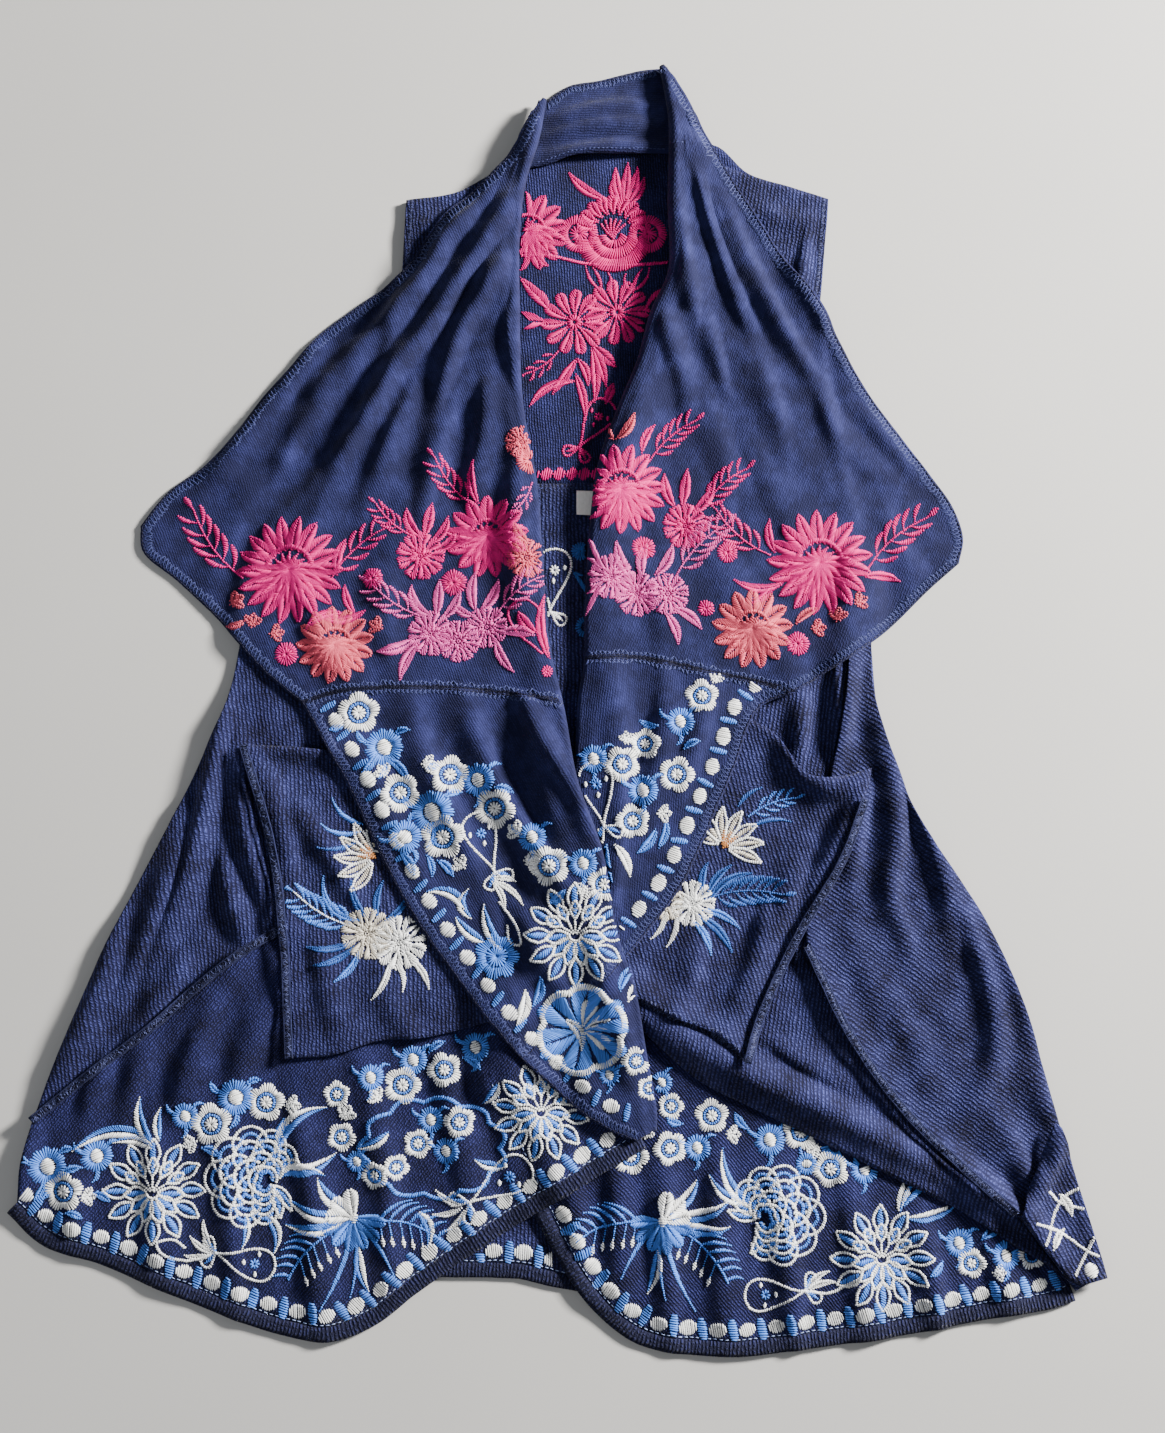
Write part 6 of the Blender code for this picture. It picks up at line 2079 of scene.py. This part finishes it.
class Nodes:
    """Short ways to add nodes to a material's tree."""

    def __init__(self, name):
        self.material = bpy.data.materials.new(name)
        self.material.use_nodes = True
        self.tree = self.material.node_tree
        self.shader = self.tree.nodes["Principled BSDF"]

    def add(self, kind, **settings):
        """A new node with these settings."""
        node = self.tree.nodes.new("ShaderNode" + kind)
        for name, value in settings.items():
            setattr(node, name, value)
        return node

    def put(self, value, socket):
        """Links a socket or sets a plain value."""
        if isinstance(value, bpy.types.NodeSocket):
            self.tree.links.new(value, socket)
        else:
            socket.default_value = value

    def fill(self, node, **values):
        """Fills the named inputs of a node."""
        for name, value in values.items():
            self.put(value, node.inputs[name])

    def math(self, operation, *values):
        """The result of a sum on numbers and sockets."""
        node = self.add("Math", operation=operation)
        for value, socket in zip((*values, 0.0, 0.0)[:3], node.inputs):
            self.put(value, socket)
        return node.outputs[0]

    def vector(self, operation, *values):
        """The result of a sum on places."""
        node = self.add("VectorMath", operation=operation)
        for value, socket in zip(values, node.inputs):
            self.put(value, socket)
        return node.outputs[0]

    def flat_place(self, wander=0.0):
        """The place on the flat cut and its two sockets, in metres, wandering a little from straight."""
        place = self.add("UVMap", uv_map=FLAT_MAP).outputs[0]
        if wander:
            noise = self.noise(place, scale=22, detail=2)["Color"]
            place = self.vector("MULTIPLY_ADD", noise, (wander, wander, 0), place)
        parts = self.add("SeparateXYZ")
        self.put(place, parts.inputs[0])
        return place, parts.outputs[0], parts.outputs[1]

    def stretched(self, place, x, y):
        """The place with its two directions scaled apart."""
        return self.vector("MULTIPLY", place, (x, y, 1))

    def noise(self, place, scale, detail, roughness=0.5):
        """The outputs of a noise at the place."""
        node = self.add("TexNoise")
        self.fill(node, Scale=scale, Detail=detail, Roughness=roughness, Vector=place)
        return node.outputs

    def waves(self, amount, sharpness=1.0):
        """A wave from 0 to 1 that repeats with each whole number."""
        wave = self.math("SINE", self.math("MULTIPLY", amount, 2 * math.pi))
        wave = self.math("MULTIPLY_ADD", wave, 0.5, 0.5)
        return self.math("POWER", wave, sharpness)

    def ramp(self, amount, *stops):
        """Colours between the stops, each a position and a colour."""
        node = self.add("ValToRGB")
        elements = node.color_ramp.elements
        while len(elements) < len(stops):
            elements.new(0.5)
        for element, (position, colour) in zip(elements, stops):
            element.position = position
            element.color = (*colour, 1.0)
        self.put(amount, node.inputs[0])
        return node.outputs[0]

    def bump(self, height, distance, strength=1.0):
        """Bump from a height, with its distance in metres."""
        node = self.add("Bump")
        self.fill(node, Strength=strength, Distance=distance, Height=height)
        self.put(node.outputs[0], self.shader.inputs["Normal"])

    def finish(self, colour, roughness, sheen, specular=0.14):
        """The finished material."""
        for name, value in (("Base Color", colour), ("Roughness", roughness), ("Sheen Weight", sheen),
                            ("Sheen Roughness", 0.45), ("Specular IOR Level", specular)):
            self.put(value, self.shader.inputs[name])
        return self.material


def knit_material(name, colours, wale, stitch, slant, painted_loop_shade, mottle, depth, sheen):
    """Knit cloth: ridges a wale apart, broken into short slanted stitches, with a painted highlight on the
    loops and painted shade between them, on uneven dye.
    """
    nodes = Nodes(name)
    place, x, y = nodes.flat_place(wander=0.004)
    uneven = nodes.noise(place, scale=150, detail=2)[0]
    across = nodes.math("MULTIPLY_ADD", uneven, 1.0, nodes.math("DIVIDE", x, wale))
    uneven = nodes.noise(place, scale=260, detail=2)[0]
    down = nodes.math("MULTIPLY_ADD", uneven, 3.0, nodes.math("DIVIDE", y, stitch))
    ridge = nodes.waves(across, sharpness=0.8)
    dash = nodes.waves(nodes.math("ADD", down, nodes.math("MULTIPLY", across, slant)), sharpness=0.9)
    # The loops' light and dark in the colour are a painted highlight on the knit loops and painted shade
    # between them; the slub and the patches are uneven dye
    loops = nodes.math("MULTIPLY", ridge, nodes.math("MULTIPLY_ADD", dash, 0.78, 0.22))
    slub = nodes.noise(nodes.stretched(place, 420, 90), scale=1.0, detail=3, roughness=0.6)[0]
    patchy = nodes.noise(place, scale=34, detail=5, roughness=0.62)[0]
    tone = nodes.math("ADD", nodes.math("MULTIPLY", loops, painted_loop_shade), nodes.math("MULTIPLY", slub, 0.35))
    tone = nodes.math("ADD", tone, nodes.math("MULTIPLY", nodes.math("SUBTRACT", patchy, 0.5), mottle))
    colour = nodes.ramp(tone, (0.12, colours[0]), (0.5, colours[1]), (0.95, colours[2]))
    nodes.bump(nodes.math("ADD", loops, nodes.math("MULTIPLY", slub, 0.4)), depth)
    return nodes.finish(colour, 0.88, sheen)


def plain_cloth(name, colours, grain, depth, sheen):
    """Cloth with a fine uneven grain, for raw edges and tape."""
    nodes = Nodes(name)
    place, x, _ = nodes.flat_place()
    fibres = nodes.noise(nodes.stretched(place, grain, grain * 0.35), scale=1.0, detail=4, roughness=0.65)[0]
    threads = nodes.waves(nodes.math("DIVIDE", x, TAPE_THREAD))
    tone = nodes.math("ADD", nodes.math("MULTIPLY", fibres, 0.8), nodes.math("MULTIPLY", threads, 0.2))
    nodes.bump(tone, depth)
    return nodes.finish(nodes.ramp(tone, (0.25, colours[0]), (0.75, colours[1])), 0.92, sheen)


def thread_material():
    """Embroidery thread: each stitch has its own tint, which also holds painted shade at its ends and a
    painted highlight on its ridge, with a soft gloss.
    """
    nodes = Nodes("embroidery_thread")
    tint = nodes.add("VertexColor", layer_name=TINT).outputs[0]
    fuzz = nodes.noise(nodes.add("TexCoord").outputs["Object"], scale=900, detail=2)[0]
    nodes.bump(fuzz, distance=0.0003, strength=0.6)
    roughness = nodes.math("MULTIPLY_ADD", fuzz, 0.25, 0.42)
    return nodes.finish(tint, roughness, sheen=0.03, specular=0.16)


def make_cloths():
    """The surface of each kind of cloth; a wale, a stitch and a depth are in metres."""
    return {
        "body": knit_material("body_knit", (NAVY_DARK, NAVY_MIDDLE, NAVY_LIGHT), wale=0.0030,
                              stitch=0.0027, slant=0.5, painted_loop_shade=0.52, mottle=0.9, depth=0.0007, sheen=0.07),
        "skirt": knit_material("skirt_knit", (FINE_DARK, FINE_MIDDLE, FINE_LIGHT), wale=0.0021,
                               stitch=0.0026, slant=0.25, painted_loop_shade=0.5, mottle=0.9, depth=0.0007, sheen=0.07),
        "lapel": knit_material("lapel_jersey", (JERSEY_DARK, JERSEY_MIDDLE, JERSEY_LIGHT), wale=0.0018,
                               stitch=0.0030, slant=0.4, painted_loop_shade=0.16, mottle=1.2, depth=0.0003, sheen=0.09),
        "rib": knit_material("rib_binding", (NAVY_DARK, RIB_MIDDLE, NAVY_MIDDLE), wale=0.0028,
                             stitch=0.0060, slant=0.2, painted_loop_shade=0.7, mottle=0.5, depth=0.0010, sheen=0.09),
        # The raw edges' darker colour is painted shade on the curled allowances
        "raw": plain_cloth("raw_edge", (RAW_EDGE_DARK, RAW_EDGE_LIGHT), grain=700, depth=0.0012, sheen=0.05),
        "label": plain_cloth("label_cloth", (TAPE_DARK, TAPE_LIGHT), grain=700, depth=0.0002, sheen=0.1),
    }


def make_floor():
    """A plain pale floor."""
    corners = [(x * FLOOR_REACH, y * FLOOR_REACH, FLOOR_HEIGHT)
               for x, y in ((-1, -1), (1, -1), (1, 1), (-1, 1))]
    nodes = Nodes("pale_floor")
    patches = nodes.noise(nodes.add("TexCoord").outputs["Object"], scale=3, detail=2)[0]
    colour = nodes.ramp(patches, (0.2, FLOOR_DARK), (0.8, FLOOR_LIGHT))
    surface = nodes.finish(colour, roughness=0.8, sheen=0.0)
    floor = new_mesh("floor", np.array(corners), np.array([(0, 1, 2, 3)]), surface)


def make_light(name, place, size, power, colour):
    """A soft square light that faces the middle of the vest; metres and watts."""
    data = bpy.data.lights.new(name, "AREA")
    data.size = size
    data.energy = power
    data.color = colour
    item = in_scene(name, data)
    item.location = place
    item.rotation_euler = Vector(place).to_track_quat("Z", "Y").to_euler()


def make_studio():
    """Floor, lights and the camera at the photograph's angle."""
    make_floor()
    make_light("key", place=(2.35, 1.2, 1.05), size=0.45, power=430, colour=(1.0, 0.98, 0.95))
    make_light("fill", place=(-1.6, -0.6, 1.8), size=1.6, power=9, colour=(0.92, 0.95, 1.0))
    world = bpy.data.worlds.new("studio")
    world.use_nodes = True
    world.node_tree.nodes["Background"].inputs["Color"].default_value = SKY
    world.node_tree.nodes["Background"].inputs["Strength"].default_value = SKY_STRENGTH
    bpy.context.scene.world = world
    data = bpy.data.cameras.new("camera")
    data.lens = CAMERA_LENS
    camera = in_scene("camera", data)
    camera.location = CAMERA_PLACE
    camera.rotation_euler = (math.radians(CAMERA_TILT), 0, 0)
    bpy.context.scene.camera = camera


def main():
    """Lays the cloth from the bottom up, sews it, and sets up the studio."""
    cloth = make_cloths()
    thread_material()
    pile = Pile()
    build_back(pile, cloth)
    build_right(pile, cloth)
    build_left(pile, cloth)
    ground = Ground(Shell.made)
    embroider(ground)
    sew_edges(ground)
    make_studio()


main()
